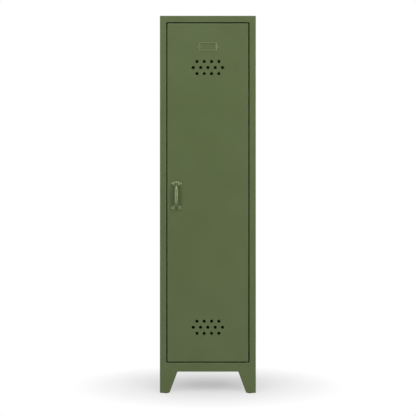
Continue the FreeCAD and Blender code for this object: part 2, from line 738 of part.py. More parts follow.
def oval(sketch, x, y, width, thickness):
    """Flat-sided oval, wider along the sketch's first axis."""
    half = f"(({width} - {thickness}) / 2)"
    rise = f"({thickness} / 2)"
    left = f"{x} - {half}"
    right = f"{x} + {half}"
    top = f"{y} + {rise}"
    bottom = f"{y} - {rise}"
    sketch.addGeometry(Part.LineSegment(spot(right, top), spot(left, top)))
    sketch.addGeometry(Part.Arc(spot(left, top), spot(f"{left} - {rise}", y), spot(left, bottom)))
    sketch.addGeometry(Part.LineSegment(spot(left, bottom), spot(right, bottom)))
    sketch.addGeometry(Part.Arc(spot(right, bottom), spot(f"{right} + {rise}", y), spot(right, top)))
    for item in range(4):
        join(sketch, item, 2, (item + 1) % 4, 1)
    pin_point(sketch, 0, 1, right, top)
    pin_point(sketch, 0, 2, left, top)
    pin_point(sketch, 2, 1, left, bottom)
    pin_point(sketch, 2, 2, right, bottom)
    pin_point(sketch, 1, 3, x=left)
    pin_point(sketch, 3, 3, x=right)


def bow_path(sketch):
    """Line of the bow: out of one foot, round a bend, along the grip and back."""
    neck = "(-handle_neck_length)"
    stand = "(handle_grip_thickness / 2 - handle_reach)"
    bend = f"({neck} - {stand})"
    foot = handle_foot_z
    grip = f"({foot} - {bend})"
    slope = "sqrt(0.5)"
    sketch.addGeometry(Part.LineSegment(spot("0", foot), spot(neck, foot)))
    sketch.addGeometry(Part.Arc(spot(neck, foot),
                                spot(f"{neck} - {slope} * {bend}", f"{grip} + {slope} * {bend}"),
                                spot(stand, grip)))
    sketch.addGeometry(Part.LineSegment(spot(stand, grip), spot(stand, f"-{grip}")))
    sketch.addGeometry(Part.Arc(spot(stand, f"-{grip}"),
                                spot(f"{neck} - {slope} * {bend}", f"-({grip} + {slope} * {bend})"),
                                spot(neck, f"-{foot}")))
    sketch.addGeometry(Part.LineSegment(spot(neck, f"-{foot}"), spot("0", f"-{foot}")))
    for item in range(4):
        join(sketch, item, 2, item + 1, 1)
    pin_point(sketch, 0, 1, "0", foot)
    pin_point(sketch, 1, 1, neck, foot)
    pin_point(sketch, 2, 1, stand, grip)
    pin_point(sketch, 3, 1, stand, f"-{grip}")
    pin_point(sketch, 4, 1, neck, f"-{foot}")
    pin_point(sketch, 4, 2, "0", f"-{foot}")
    pin_point(sketch, 1, 3, x=neck)
    pin_point(sketch, 3, 3, x=neck)


def neck_section(body, z):
    """Oval of the bow where it leaves a foot."""
    section = sketch_on(body, "XZ_Plane")
    oval(section, "0", z, "handle_neck_width", "handle_neck_thickness")
    return section


def make_handle():
    body = new_body("pull_handle")
    feet = sketch_on(body, "XZ_Plane")
    lens(feet, handle_foot_z)
    upper = pad(body, feet, "handle_foot_thickness")
    mirrored = body.newObject("PartDesign::Mirrored", "pull_handle_feet")
    mirrored.Originals = [upper]
    mirrored.MirrorPlane = (feet, ["H_Axis"])
    settle(body, mirrored)
    round_edges(body, "handle_foot_tip_radius", lambda edge: runs_along(edge, "Y"))
    round_edges(body, "handle_foot_round", lambda edge: lies_at(edge, "Y", "-handle_foot_thickness"))
    path = sketch_on(body, "YZ_Plane")
    bow_path(path)
    grip = sketch_on(body, "XY_Plane")
    oval(grip, "0", "handle_grip_thickness / 2 - handle_reach", "handle_grip_width", "handle_grip_thickness")
    upper_neck, lower_neck = (neck_section(body, z) for z in (handle_foot_z, f"-{handle_foot_z}"))
    bow = body.newObject("PartDesign::AdditivePipe", "pull_handle_bow")
    bow.Profile = upper_neck
    bow.Spine = path
    bow.Transformation = "Multisection"
    bow.Sections = [grip, lower_neck]
    settle(body, bow)
    seats = sketch_on(body, "XZ_Plane", "handle_screw_seat")
    holes = sketch_on(body, "XZ_Plane")
    for x in ("-handle_screw_spacing / 2", "handle_screw_spacing / 2"):
        for z in (handle_screw_z, f"-{handle_screw_z}"):
            circle(seats, x, z, "handle_seat_radius")
            circle(holes, x, z, "screw_radius + push_fit")
    pocket(body, seats, "handle_foot_thickness", reverse=True)
    pocket(body, holes, "2 * handle_foot_thickness", reverse=True)
    place(body, handle_x, front_y, handle_z)


def handle_screw_spots():
    """Screw centres on the door, as formulas for X and Z."""
    return [(f"{handle_x} + {side} * handle_screw_spacing / 2", f"{handle_z} + {end} * {handle_screw_z}")
            for side in (-1, 1) for end in (-1, 1)]


def make_handle_fasteners():
    screw = master_body("handle_screw")
    tail = "(door_gauge + nut_thickness + screw_tail)"
    seat = "(-handle_screw_seat)"
    revolve(screw, "XY_Plane", "V_Axis", [
        ("0", f"{seat} - screw_head_height"),
        ("screw_head_radius", f"{seat} - screw_head_height"),
        ("screw_head_radius", seat),
        ("screw_radius", seat),
        ("screw_radius", tail),
        ("0", tail),
    ])
    round_edges(screw, "screw_head_round", lambda edge: lies_at(edge, "Y", f"{seat} - screw_head_height"))
    nut = master_body("handle_nut")
    hexagon = sketch_on(nut, "XZ_Plane", "-door_gauge")
    corner = "nut_flats / sqrt(3)"
    outline(hexagon, [(f"{corner} * cos({turn} deg)", f"{corner} * sin({turn} deg)")
                      for turn in range(0, 360, 60)])
    circle(hexagon, "0", "0", "screw_radius + push_fit")
    pad(nut, hexagon, "nut_thickness", reverse=True)
    spots = [(x, front_y, z) for x, z in handle_screw_spots()]
    group("handle_screws", screw, spots)
    group("handle_nuts", nut, spots)


# Card holder: a raised rim round a window, open behind for a card, riveted through two ears

def make_label_holder():
    body = new_body("label_holder")
    half = "(label_width / 2)"
    rise = "(label_height / 2)"
    rim = sketch_on(body, "XZ_Plane")
    rectangle(rim, f"-{half}", half, f"-{rise}", rise)
    pad(body, rim, "label_rise")
    round_edges(body, "label_corner_radius", lambda edge: runs_along(edge, "Y"))
    window = sketch_on(body, "XZ_Plane")
    rectangle(window, f"label_rail - {half}", f"{half} - label_rail",
              f"label_rail - {rise}", f"{rise} - label_rail")
    pocket(body, window, "2 * label_rise", reverse=True)
    round_edges(body, "label_edge_round", lambda edge: lies_at(edge, "Y", "-label_rise"))
    slot = sketch_on(body, "XZ_Plane")
    rectangle(slot, f"label_wall - {half}", f"{half} - label_wall",
              f"label_wall - {rise}", f"{rise} + label_wall")
    pocket(body, slot, "label_slot", reverse=True)
    ears = sketch_on(body, "XZ_Plane")
    inner = f"({half} - label_wall)"
    outer = f"({half} + label_ear_length)"
    for left, right in ((f"-{outer}", f"-{inner}"), (inner, outer)):
        rectangle(ears, left, right, "-label_ear_height / 2", "label_ear_height / 2")
    pad(body, ears, "label_ear_thickness")
    round_edges(body, "label_ear_round", lambda edge: runs_along(edge, "Y") and (
        lies_at(edge, "X", outer) or lies_at(edge, "X", f"-{outer}")))
    holes = sketch_on(body, "XZ_Plane")
    for x in ("-label_rivet_spacing / 2", "label_rivet_spacing / 2"):
        circle(holes, x, "0", "rivet_radius + push_fit")
    pocket(body, holes, "2 * label_ear_thickness", reverse=True)
    place(body, "0", front_y, label_z)


def make_rivet(label, grip, role):
    """Dome rivet along the sketch's second axis, head below zero and tail past the grip."""
    rivet = master_body(label)
    revolve(rivet, role, "V_Axis", [
        ("0", "-rivet_head_height"),
        ("rivet_head_radius", "-rivet_head_height"),
        ("rivet_head_radius", "0"),
        ("rivet_radius", "0"),
        ("rivet_radius", grip),
        ("rivet_head_radius", grip),
        ("rivet_head_radius", f"{grip} + rivet_head_height"),
        ("0", f"{grip} + rivet_head_height"),
    ])
    axis = "Y" if role == "XY_Plane" else "Z"
    for end in ("-rivet_head_height", f"{grip} + rivet_head_height"):
        round_edges(rivet, "rivet_head_round", lambda edge: lies_at(edge, axis, end))
    return rivet


def make_label_rivets():
    rivet = make_rivet("label_rivet", "(label_ear_thickness + door_gauge)", "XY_Plane")
    seat_y = f"{front_y} - label_ear_thickness"
    group("label_rivets", rivet, [(f"{side} * label_rivet_spacing / 2", seat_y, label_z) for side in (-1, 1)])


# Strike angle behind the left upright, with its rubber bumpers and the magnetic catch

def make_strike():
    body = new_body("door_strike")
    section = sketch_on(body, "XY_Plane")
    jamb = f"(-{opening_half} - sheet_gauge)"
    outer = f"({jamb} - strike_gauge)"
    tip = f"(strike_reach - {opening_half})"
    outline(section, [
        (outer, "-strike_tail"),
        (jamb, "-strike_tail"),
        (jamb, "0"),
        (tip, "0"),
        (tip, "strike_gauge"),
        (outer, "strike_gauge"),
    ])
    base_z = f"({sill_z} + strike_margin)"
    pad(body, section, f"{head_z} - {sill_z} - 2 * strike_margin")
    round_edges(body, "strike_gauge", lambda edge: runs_along(edge, "Z")
                and lies_at(edge, "X", outer) and lies_at(edge, "Y", "strike_gauge"))
    cuts = sketch_on(body, "XZ_Plane")
    for z in bumper_heights():
        circle(cuts, latch_x, f"{z} - {base_z}", "bumper_stem_radius + push_fit")
    for side in (-1, 1):
        circle(cuts, latch_x, f"{handle_z} - {base_z} + {side} * catch_screw_spacing / 2",
               "catch_screw_radius + push_fit")
    wide = "(catch_nose_width / 2 + catch_nose_play)"
    tall = "(catch_nose_height / 2 + catch_nose_play)"
    rectangle(cuts, f"{latch_x} - {wide}", f"{latch_x} + {wide}",
              f"{handle_z} - {base_z} - {tall}", f"{handle_z} - {base_z} + {tall}")
    pocket(body, cuts, "2 * strike_gauge")
    place(body, "0", strike_y, base_z)


def bumper_heights():
    """Heights of the two bumpers."""
    return [f"({sill_z} + bumper_margin)", f"({head_z} - bumper_margin)"]


def make_bumpers():
    bumper = master_body("door_bumper")
    face = f"(closing_play - {strike_room})"
    revolve(bumper, "XY_Plane", "V_Axis", [
        ("0", face),
        ("bumper_radius", face),
        ("bumper_radius", "0"),
        ("bumper_stem_radius", "0"),
        ("bumper_stem_radius", "strike_gauge"),
        ("bumper_barb_radius", "strike_gauge"),
        ("bumper_stem_radius", "strike_gauge + bumper_barb_height"),
        ("0", "strike_gauge + bumper_barb_height"),
    ])
    round_edges(bumper, "bumper_round", lambda edge: lies_at(edge, "Y", face))
    group("door_bumpers", bumper, [(latch_x, strike_y, z) for z in bumper_heights()])


def make_catch():
    pole_face = f"(closing_play - {strike_room})"
    nose_face = f"({pole_face} + catch_nose_step)"
    back = "(strike_gauge + catch_depth)"
    chamber_back = f"({back} - catch_wall)"
    chamber_half = "(catch_nose_width / 2 - catch_wall)"
    chamber_rise = "(catch_nose_height / 2 - catch_wall)"
    plate_outer = f"({chamber_half} - catch_fit)"
    plate_inner = f"({plate_outer} - pole_plate_thickness)"
    plate_rise = f"({chamber_rise} - catch_fit)"
    magnet_half = f"({plate_inner} - catch_fit)"

    housing = new_body("catch_housing")
    block = sketch_on(housing, "XZ_Plane", "-strike_gauge")
    rectangle(block, "-catch_width / 2", "catch_width / 2", "-catch_height / 2", "catch_height / 2")
    pad(housing, block, "catch_depth", reverse=True)
    nose = sketch_on(housing, "XZ_Plane", f"-{nose_face}")
    rectangle(nose, "-catch_nose_width / 2", "catch_nose_width / 2",
              "-catch_nose_height / 2", "catch_nose_height / 2")
    pad(housing, nose, f"{back} - {nose_face}", reverse=True)
    chamber = sketch_on(housing, "XZ_Plane", f"-{nose_face}")
    rectangle(chamber, f"-{chamber_half}", chamber_half, f"-{chamber_rise}", chamber_rise)
    pocket(housing, chamber, f"{chamber_back} - {nose_face}")
    holes = sketch_on(housing, "XZ_Plane", "-strike_gauge")
    for z in ("-catch_screw_spacing / 2", "catch_screw_spacing / 2"):
        circle(holes, "0", z, "catch_screw_radius + push_fit")
    pocket(housing, holes, "catch_screw_length")
    place(housing, latch_x, strike_y, handle_z)

    plates = new_body("catch_pole_plates")
    ends = sketch_on(plates, "XZ_Plane", f"-{pole_face}")
    for left, right in ((f"-{plate_outer}", f"-{plate_inner}"), (plate_inner, plate_outer)):
        rectangle(ends, left, right, f"-{plate_rise}", plate_rise)
    pad(plates, ends, f"{chamber_back} - {pole_face}", reverse=True)
    place(plates, latch_x, strike_y, handle_z)

    magnet = new_body("catch_magnet")
    bar = sketch_on(magnet, "XZ_Plane", f"-({pole_face} + magnet_step)")
    rectangle(bar, f"-{magnet_half}", magnet_half, f"-{plate_rise}", plate_rise)
    pad(magnet, bar, f"{chamber_back} - {pole_face} - magnet_step", reverse=True)
    place(magnet, latch_x, strike_y, handle_z)

    screw = master_body("catch_screw")
    revolve(screw, "XY_Plane", "V_Axis", [
        ("0", "-catch_screw_head_height"),
        ("catch_screw_head_radius", "-catch_screw_head_height"),
        ("catch_screw_head_radius", "0"),
        ("catch_screw_radius", "0"),
        ("catch_screw_radius", "catch_screw_length"),
        ("0", "catch_screw_length"),
    ])
    round_edges(screw, "catch_screw_head_round", lambda edge: lies_at(edge, "Y", "-catch_screw_head_height"))
    group("catch_screws", screw, [(latch_x, strike_y, f"{handle_z} + {side} * catch_screw_spacing / 2")
                                  for side in (-1, 1)])


# Inside: shelf bearers, and the coat rail hung under the shelf in two ring brackets

def make_bearer(label, side):
    body = new_body(label)
    section = sketch_on(body, "XZ_Plane")
    inward = -side
    leg = f"{inward} * bearer_leg"
    wall = f"{inward} * bearer_gauge"
    outline(section, [
        ("0", "0"),
        (leg, "0"),
        (leg, "-bearer_gauge"),
        (wall, "-bearer_gauge"),
        (wall, "-bearer_leg"),
        ("0", "-bearer_leg"),
    ])
    pad(body, section, f"{shelf_back} - {shelf_front} - 2 * bearer_margin", reverse=True)
    round_edges(body, "bearer_gauge", lambda edge: runs_along(edge, "Y")
                and lies_at(edge, "X", "0") and lies_at(edge, "Z", "0"))
    place(body, f"{side} * {inner_half}", f"{front_y} + {shelf_front} + bearer_margin", shelf_under_z)


def rail_rivet_spots():
    """Rivet centres under the shelf, as formulas for X and Y."""
    return [(f"{side} * {rail_bracket_x}", f"({rail_y} + {end} * rail_rivet_spacing / 2)")
            for side in (-1, 1) for end in (-1, 1)]


def make_rail_bracket(label, side):
    body = new_body(label)
    ring = "(rail_radius + rail_fit + rail_bracket_ring)"
    eye = sketch_on(body, "YZ_Plane", "-rail_bracket_thickness / 2")
    circle(eye, "0", "-rail_drop", ring)
    pad(body, eye, "rail_bracket_thickness")
    neck = sketch_on(body, "YZ_Plane", "-rail_bracket_thickness / 2")
    rectangle(neck, "-rail_bracket_neck / 2", "rail_bracket_neck / 2", "-rail_drop", "0")
    pad(body, neck, "rail_bracket_thickness")
    flange = sketch_on(body, "XY_Plane")
    rectangle(flange, "-rail_flange_width / 2", "rail_flange_width / 2",
              "-rail_flange_length / 2", "rail_flange_length / 2")
    pad(body, flange, "rail_flange_thickness", reverse=True)
    bore = sketch_on(body, "YZ_Plane", "-rail_bracket_thickness")
    circle(bore, "0", "-rail_drop", "rail_radius + rail_fit")
    pocket(body, bore, "2 * rail_bracket_thickness", reverse=True)
    holes = sketch_on(body, "XY_Plane")
    for y in ("-rail_rivet_spacing / 2", "rail_rivet_spacing / 2"):
        circle(holes, "0", y, "rivet_radius + push_fit")
    pocket(body, holes, "2 * rail_flange_thickness")
    place(body, f"{side} * {rail_bracket_x}", rail_y, shelf_under_z)


def make_rail():
    tube = new_body("coat_rail")
    section = sketch_on(tube, "YZ_Plane", f"-{rail_half}")
    circle(section, "0", "0", "rail_radius")
    circle(section, "0", "0", "rail_radius - rail_wall")
    pad(tube, section, f"2 * {rail_half}")
    place(tube, "0", rail_y, rail_z)
    caps = new_body("rail_end_caps")
    spigot = "(rail_radius - rail_wall - rail_fit)"
    rim = "(rail_radius + rail_cap_overhang)"
    right = revolve(caps, "XY_Plane", "H_Axis", [
        (f"{rail_half} - rail_cap_spigot", "0"),
        (f"{rail_half} - rail_cap_spigot", spigot),
        (rail_half, spigot),
        (rail_half, rim),
        (f"{rail_half} + rail_cap_thickness", rim),
        (f"{rail_half} + rail_cap_thickness", "0"),
    ])
    both = caps.newObject("PartDesign::Mirrored", "rail_end_caps_pair")
    both.Originals = [right]
    both.MirrorPlane = (right.Profile[0], ["V_Axis"])
    settle(caps, both)
    place(caps, "0", rail_y, rail_z)
    rivet = make_rivet("rail_rivet", "(rail_flange_thickness + shelf_gauge)", "XZ_Plane")
    group("rail_rivets", rivet, [(x, y, f"{shelf_under_z} - rail_flange_thickness")
                                 for x, y in rail_rivet_spots()])


# Put the locker together
make_front_frame()
make_back_panel()
for side_name, side_sign in (("left", -1), ("right", 1)):
    make_side_panel(f"{side_name}_side_panel", side_sign)
    make_bearer(f"{side_name}_shelf_bearer", side_sign)
    make_rail_bracket(f"{side_name}_rail_bracket", side_sign)
    make_glide(f"front_{side_name}_glide", side_sign, -1)
    make_glide(f"rear_{side_name}_glide", side_sign, 1)
make_trays()
make_rail()
make_strike()
make_bumpers()
make_catch()
make_hinge()
make_door_panel()
make_door_stiffener()
make_handle()
make_handle_fasteners()
make_label_holder()
make_label_rivets()
doc.recompute()

# Every feature has to be sound before anything is written
for thing in doc.Objects:
    if "Invalid" in thing.State or "Error" in thing.State:
        raise RuntimeError(f"{thing.Label} failed: {thing.State}")
for label, piece in parts.items():
    if piece.Shape.isNull() or not piece.Shape.isValid():
        raise RuntimeError(f"{label} has no sound shape")

os.makedirs("parts", exist_ok=True)
for label, piece in parts.items():
    piece.Shape.exportStep(f"parts/{label}.step")
    print(label, len(piece.Shape.Solids), "solid(s)", round(piece.Shape.Volume), "mm3")
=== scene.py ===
import bmesh
import bpy
from math import atan2, cos, hypot, pi, radians, sin, sqrt, tan
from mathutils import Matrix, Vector


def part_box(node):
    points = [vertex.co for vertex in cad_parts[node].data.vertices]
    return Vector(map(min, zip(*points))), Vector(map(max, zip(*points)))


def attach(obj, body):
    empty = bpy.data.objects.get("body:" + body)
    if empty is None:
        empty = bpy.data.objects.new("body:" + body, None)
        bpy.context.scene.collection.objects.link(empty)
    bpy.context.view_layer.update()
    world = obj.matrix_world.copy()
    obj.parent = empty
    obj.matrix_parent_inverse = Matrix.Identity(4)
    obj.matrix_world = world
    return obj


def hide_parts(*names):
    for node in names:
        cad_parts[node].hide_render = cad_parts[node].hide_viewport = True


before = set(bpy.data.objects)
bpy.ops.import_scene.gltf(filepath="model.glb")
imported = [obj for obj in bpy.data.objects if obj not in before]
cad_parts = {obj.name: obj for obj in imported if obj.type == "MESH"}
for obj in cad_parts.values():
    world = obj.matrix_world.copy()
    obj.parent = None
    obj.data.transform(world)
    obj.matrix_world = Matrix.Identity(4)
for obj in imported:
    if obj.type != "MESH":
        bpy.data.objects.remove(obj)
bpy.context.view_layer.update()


# Olive powder coat
# Every painted sheet is dusted with the same polyester powder and baked, after welding.
# The skin is satin, with a fine orange peel, and lies over the slight waviness of thin sheet.
mm = 0.001
pattern_low = 0.3
pattern_high = 0.7


def new_finish(name):
    """Empty material with its nodes, its links, its shader and the piece's own coordinates."""
    finish = bpy.data.materials.new(name)
    finish.use_nodes = True
    nodes = finish.node_tree.nodes
    links = finish.node_tree.links
    place = nodes.new("ShaderNodeTexCoord").outputs["Object"]
    return finish, nodes, links, nodes["Principled BSDF"], place


def grain(nodes, links, place, per_metre, detail):
    """Cloudy pattern with so many blotches to the metre."""
    noise = nodes.new("ShaderNodeTexNoise")
    noise.inputs["Scale"].default_value = per_metre
    noise.inputs["Detail"].default_value = detail
    links.new(place, noise.inputs["Vector"])
    return noise.outputs["Fac"]


def two_tones(nodes, links, pattern, dark, light, socket):
    """Colour that drifts between two near tones."""
    ramp = nodes.new("ShaderNodeValToRGB")
    ramp.color_ramp.elements[0].position = pattern_low
    ramp.color_ramp.elements[0].color = (*dark, 1)
    ramp.color_ramp.elements[1].position = pattern_high
    ramp.color_ramp.elements[1].color = (*light, 1)
    links.new(pattern, ramp.inputs["Fac"])
    links.new(ramp.outputs["Color"], socket)


def between(nodes, links, pattern, low, high, socket):
    """Number that drifts between two values."""
    span = nodes.new("ShaderNodeMapRange")
    span.inputs["From Min"].default_value = pattern_low
    span.inputs["From Max"].default_value = pattern_high
    span.inputs["To Min"].default_value = low
    span.inputs["To Max"].default_value = high
    links.new(pattern, span.inputs["Value"])
    links.new(span.outputs["Result"], socket)


def relief(nodes, links, pattern, depth, strength, under=None):
    """Bump of a real depth, laid over another bump where there is one."""
    bump = nodes.new("ShaderNodeBump")
    bump.inputs["Strength"].default_value = strength
    bump.inputs["Distance"].default_value = depth
    links.new(pattern, bump.inputs["Height"])
    if under:
        links.new(under, bump.inputs["Normal"])
    return bump.outputs["Normal"]


coat_dark = (0.0775, 0.1080, 0.0360)
coat_light = (0.0870, 0.1195, 0.0425)
olive_coat, nodes, links, shader, place = new_finish("olive_powder_coat")
cloud = grain(nodes, links, place, 6, 5)
peel = grain(nodes, links, place, 620, 2)
two_tones(nodes, links, cloud, coat_dark, coat_light, shader.inputs["Base Color"])
between(nodes, links, peel, 0.27, 0.35, shader.inputs["Roughness"])
waves = relief(nodes, links, grain(nodes, links, place, 4, 0), 1.5 * mm, 0.25)
links.new(relief(nodes, links, peel, 0.04 * mm, 0.3, waves), shader.inputs["Normal"])
shader.inputs["Specular IOR Level"].default_value = 0.6


# Front frame
# The face of the carcass, with the door opening and both front legs, is one sheet of mild steel.
# It is cut out, folded back all round and welded to the folds of the side panels.
touch = 0.01 * mm
sheet_gauge = 1 * mm
bend_radius = 2.5 * mm
door_gap = 5 * mm
leg_height = 104.5 * mm
leg_top_width = 85 * mm
leg_foot_width = 46.5 * mm
foot_outer_corner = 3.5 * mm
foot_inner_corner = 8 * mm
arch_corner = 4 * mm
opening_corner = 6 * mm
outer_corner = 3 * mm
round_steps = 4
corner_steps = 5
square_on = 0.99
crease = radians(6)
level_angle = radians(1)
bend_angle = radians(35)
across, deep, up = range(3)


def steel_block(name, low, high):
    """Start a piece as a block between two corners, in edit mode."""
    bpy.ops.object.select_all(action="DESELECT")
    low = Vector(low)
    high = Vector(high)
    bpy.ops.mesh.primitive_cube_add(size=1, location=(low + high) / 2, scale=high - low)
    piece = bpy.context.object
    piece.name = name
    piece.data.name = name
    bpy.ops.object.transform_apply(location=True, rotation=True, scale=True)
    bpy.ops.object.mode_set(mode="EDIT")
    return piece


def slice_at(axis, place):
    """Cut a line round the piece in hand where an axis has a value."""
    point = Vector()
    point[axis] = place
    normal = Vector()
    normal[axis] = 1
    bpy.ops.mesh.select_all(action="SELECT")
    bpy.ops.mesh.bisect(plane_co=point, plane_no=normal)


def pick(kind, test):
    """Select the corners, edges or faces of the piece in hand that a test picks out."""
    bpy.ops.mesh.select_mode(type=kind)
    bpy.ops.mesh.select_all(action="DESELECT")
    mesh = bmesh.from_edit_mesh(bpy.context.object.data)
    for item in {"VERT": mesh.verts, "EDGE": mesh.edges, "FACE": mesh.faces}[kind]:
        if test(item):
            item.select_set(True)
    bmesh.update_edit_mesh(bpy.context.object.data)


def spot(item):
    """Middle of an edge or a face."""
    return sum((corner.co for corner in item.verts), Vector()) / len(item.verts)


def at(value, target):
    """True where a coordinate lies at a place."""
    return abs(value - target) < touch


def arris(edge, axis):
    """True for a real corner of the piece that runs along an axis."""
    line = edge.verts[1].co - edge.verts[0].co
    return abs(line[axis]) > square_on * line.length and edge.calc_face_angle(0) > crease


def turns_from(edge, axis, place):
    """True for an edge where the flat skin at a place turns into a fold."""
    flat = [abs(face.normal[axis]) > square_on for face in edge.link_faces]
    level = all(at(corner.co[axis], place) for corner in edge.verts)
    return level and len(flat) == 2 and any(flat) and not all(flat)


def round_off(offset, steps):
    """Round the selected edges, from this far on either side of them."""
    bpy.ops.mesh.bevel(offset=offset, segments=steps, affect="EDGES")


def blunt_offset(radius, run, rise):
    """Distance from the corner of a sloping leg at which a rounding of this radius starts."""
    return radius / tan(pi / 4 + atan2(run, rise) / 2)


def cut_between_legs(axis, through, knees, feet, base, top):
    """Take out the space between two legs that taper from knee to foot."""
    for knee in knees:
        slice_at(axis, knee)
    slice_at(up, top)
    pick("FACE", lambda face: knees[0] < spot(face)[axis] < knees[1] and spot(face).z < top
         and abs(face.normal[axis]) < square_on)
    bpy.ops.mesh.delete(type="FACE")
    pick("EDGE", lambda edge: edge.is_boundary
         and at(edge.verts[0].co[through], edge.verts[1].co[through]))
    bpy.ops.mesh.bridge_edge_loops()
    for knee, foot in zip(knees, feet):
        pick("VERT", lambda corner: at(corner.co.z, base) and at(corner.co[axis], knee))
        shift = Vector()
        shift[axis] = foot - knee
        bpy.ops.transform.translate(value=shift)
    bpy.ops.mesh.select_all(action="SELECT")
    bpy.ops.mesh.dissolve_limited(angle_limit=level_angle)


def hold(piece):
    """Select one piece alone and make it the active one."""
    bpy.ops.object.select_all(action="DESELECT")
    piece.select_set(True)
    bpy.context.view_layer.objects.active = piece


def smooth_bends(piece):
    """Shade the bends round and the flats flat."""
    hold(piece)
    bpy.ops.object.shade_smooth_by_angle(angle=bend_angle)
    flats = piece.modifiers.new("flats", "WEIGHTED_NORMAL")
    flats.keep_sharp = True
    flats.weight = 100
    bpy.ops.object.modifier_apply(modifier=flats.name)


def thicken(piece, gauge):
    """Give a folded skin the thickness of its sheet, inwards."""
    bpy.ops.object.mode_set(mode="OBJECT")
    sheet = piece.modifiers.new("sheet", "SOLIDIFY")
    sheet.thickness = gauge
    sheet.offset = -1
    sheet.use_even_offset = True
    sheet.use_quality_normals = True
    bpy.ops.object.modifier_apply(modifier=sheet.name)


def fit(piece, finish, slot, body, *stands_for):
    """Finish a piece and hang it on the body whose solids it stands for."""
    piece.data.materials.clear()
    piece.data.materials.append(finish)
    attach(piece, body)
    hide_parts(*stands_for)


def legged_face(name, node):
    """Block with two tapered legs, its corners rounded, ready to be folded."""
    low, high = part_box(node)
    piece = steel_block(name, low, high)
    knee = high.x - leg_top_width
    foot = high.x - leg_foot_width
    cut_between_legs(across, deep, (-knee, knee), (-foot, foot), low.z, leg_height)
    slope = (foot - knee, leg_height - low.z)
    for offset, test in (
        (foot_outer_corner, lambda place: at(place.z, low.z) and at(abs(place.x), high.x)),
        (blunt_offset(foot_inner_corner, *slope),
         lambda place: at(place.z, low.z) and at(abs(place.x), foot)),
        (blunt_offset(arch_corner, *slope), lambda place: at(place.z, leg_height)),
        (outer_corner, lambda place: at(place.z, high.z)),
    ):
        pick("EDGE", lambda edge: arris(edge, deep) and test(spot(edge)))
        round_off(offset, round_steps)
    return piece


def fold_back(piece, axis, skin, rim):
    """Bend the edges of the skin and open the piece at its back."""
    pick("EDGE", lambda edge: turns_from(edge, axis, skin))
    round_off(bend_radius, round_steps)
    pick("FACE", lambda face: abs(face.normal[axis]) > square_on and at(spot(face)[axis], rim))
    bpy.ops.mesh.delete(type="FACE")


frame_low, frame_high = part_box("front_frame")
door_low, door_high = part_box("door_panel")
opening = door_high.x + door_gap
sill = door_low.z - door_gap
head = door_high.z + door_gap
front_sheet = legged_face("front_frame_sheet", "front_frame")
for side in (-opening, opening):
    slice_at(across, side)
for height in (sill, head):
    slice_at(up, height)
pick("FACE", lambda face: abs(face.normal.y) > square_on and abs(spot(face).x) < opening
     and sill < spot(face).z < head)
bpy.ops.mesh.delete(type="FACE")
pick("EDGE", lambda edge: edge.is_boundary)
bpy.ops.mesh.bridge_edge_loops()
pick("EDGE", lambda edge: arris(edge, deep) and at(abs(spot(edge).x), opening))
round_off(opening_corner, corner_steps)
fold_back(front_sheet, deep, frame_low.y, frame_high.y)
thicken(front_sheet, sheet_gauge)
smooth_bends(front_sheet)
fit(front_sheet, olive_coat, "locker_green", "carcass", "front_frame")


# Back panel
# The same blank as the front frame without an opening: the back sheet and both rear legs in one,
# folded forward all round, with two punched holes under the top for wall screws.
wall_hole_radius = 3.5 * mm
wall_hole_spacing = 300 * mm
wall_hole_drop = 90 * mm
punch_length = 10 * mm
to_front = (pi / 2, 0, 0)


def drill(name, radius, length, places, turn, sides=32):
    """Row of plain round cutters in one mesh."""
    bpy.ops.object.select_all(action="DESELECT")
    for first, place in enumerate(places):
        bpy.ops.mesh.primitive_cylinder_add(vertices=sides, radius=radius, depth=length,
                                            location=place, rotation=turn)
        if first == 0:
            tool = bpy.context.object
            bpy.ops.object.transform_apply(location=True, rotation=True, scale=True)
            bpy.ops.object.mode_set(mode="EDIT")
    bpy.ops.object.mode_set(mode="OBJECT")
    tool.name = name
    return tool


def combine(piece, tool, way):
    """Join a second shape to a piece or cut it out, and throw the second shape away."""
    hold(piece)
    bite = piece.modifiers.new("bite", "BOOLEAN")
    bite.object = tool
    bite.operation = way
    bite.solver = "EXACT"
    bpy.ops.object.modifier_apply(modifier=bite.name)
    bpy.data.objects.remove(tool)


back_low, back_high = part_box("back_panel")
back_sheet = legged_face("back_panel_sheet", "back_panel")
fold_back(back_sheet, deep, back_high.y, back_low.y)
thicken(back_sheet, sheet_gauge)
wall_holes = [(side * wall_hole_spacing / 2, back_high.y, back_high.z - wall_hole_drop) for side in (-1, 1)]
combine(back_sheet, drill("wall_drill", wall_hole_radius, punch_length, wall_holes, to_front), "DIFFERENCE")
smooth_bends(back_sheet)
fit(back_sheet, olive_coat, "locker_green", "carcass", "back_panel")


# Side panels
# One folded sheet on each side, with the same tapered legs seen from the side. Their edges turn
# inwards and lie inside the folds of the front frame and the back panel, where they are welded.
side_leg_foot = 28 * mm


def copy_of(piece, name, shift=(0, 0, 0), other_hand=False):
    """Copy of a piece, with a mesh of its own, moved or turned over to the other side of the middle."""
    hold(piece)
    bpy.ops.object.duplicate()
    twin = bpy.context.object
    twin.name = name
    twin.data.name = name
    bpy.ops.object.mode_set(mode="EDIT")
    bpy.ops.mesh.select_all(action="SELECT")
    bpy.ops.transform.translate(value=shift)
    if other_hand:
        bpy.ops.transform.resize(value=(-1, 1, 1), center_override=(0, 0, 0))
        bpy.ops.mesh.normals_make_consistent(inside=False)
    bpy.ops.object.mode_set(mode="OBJECT")
    return twin


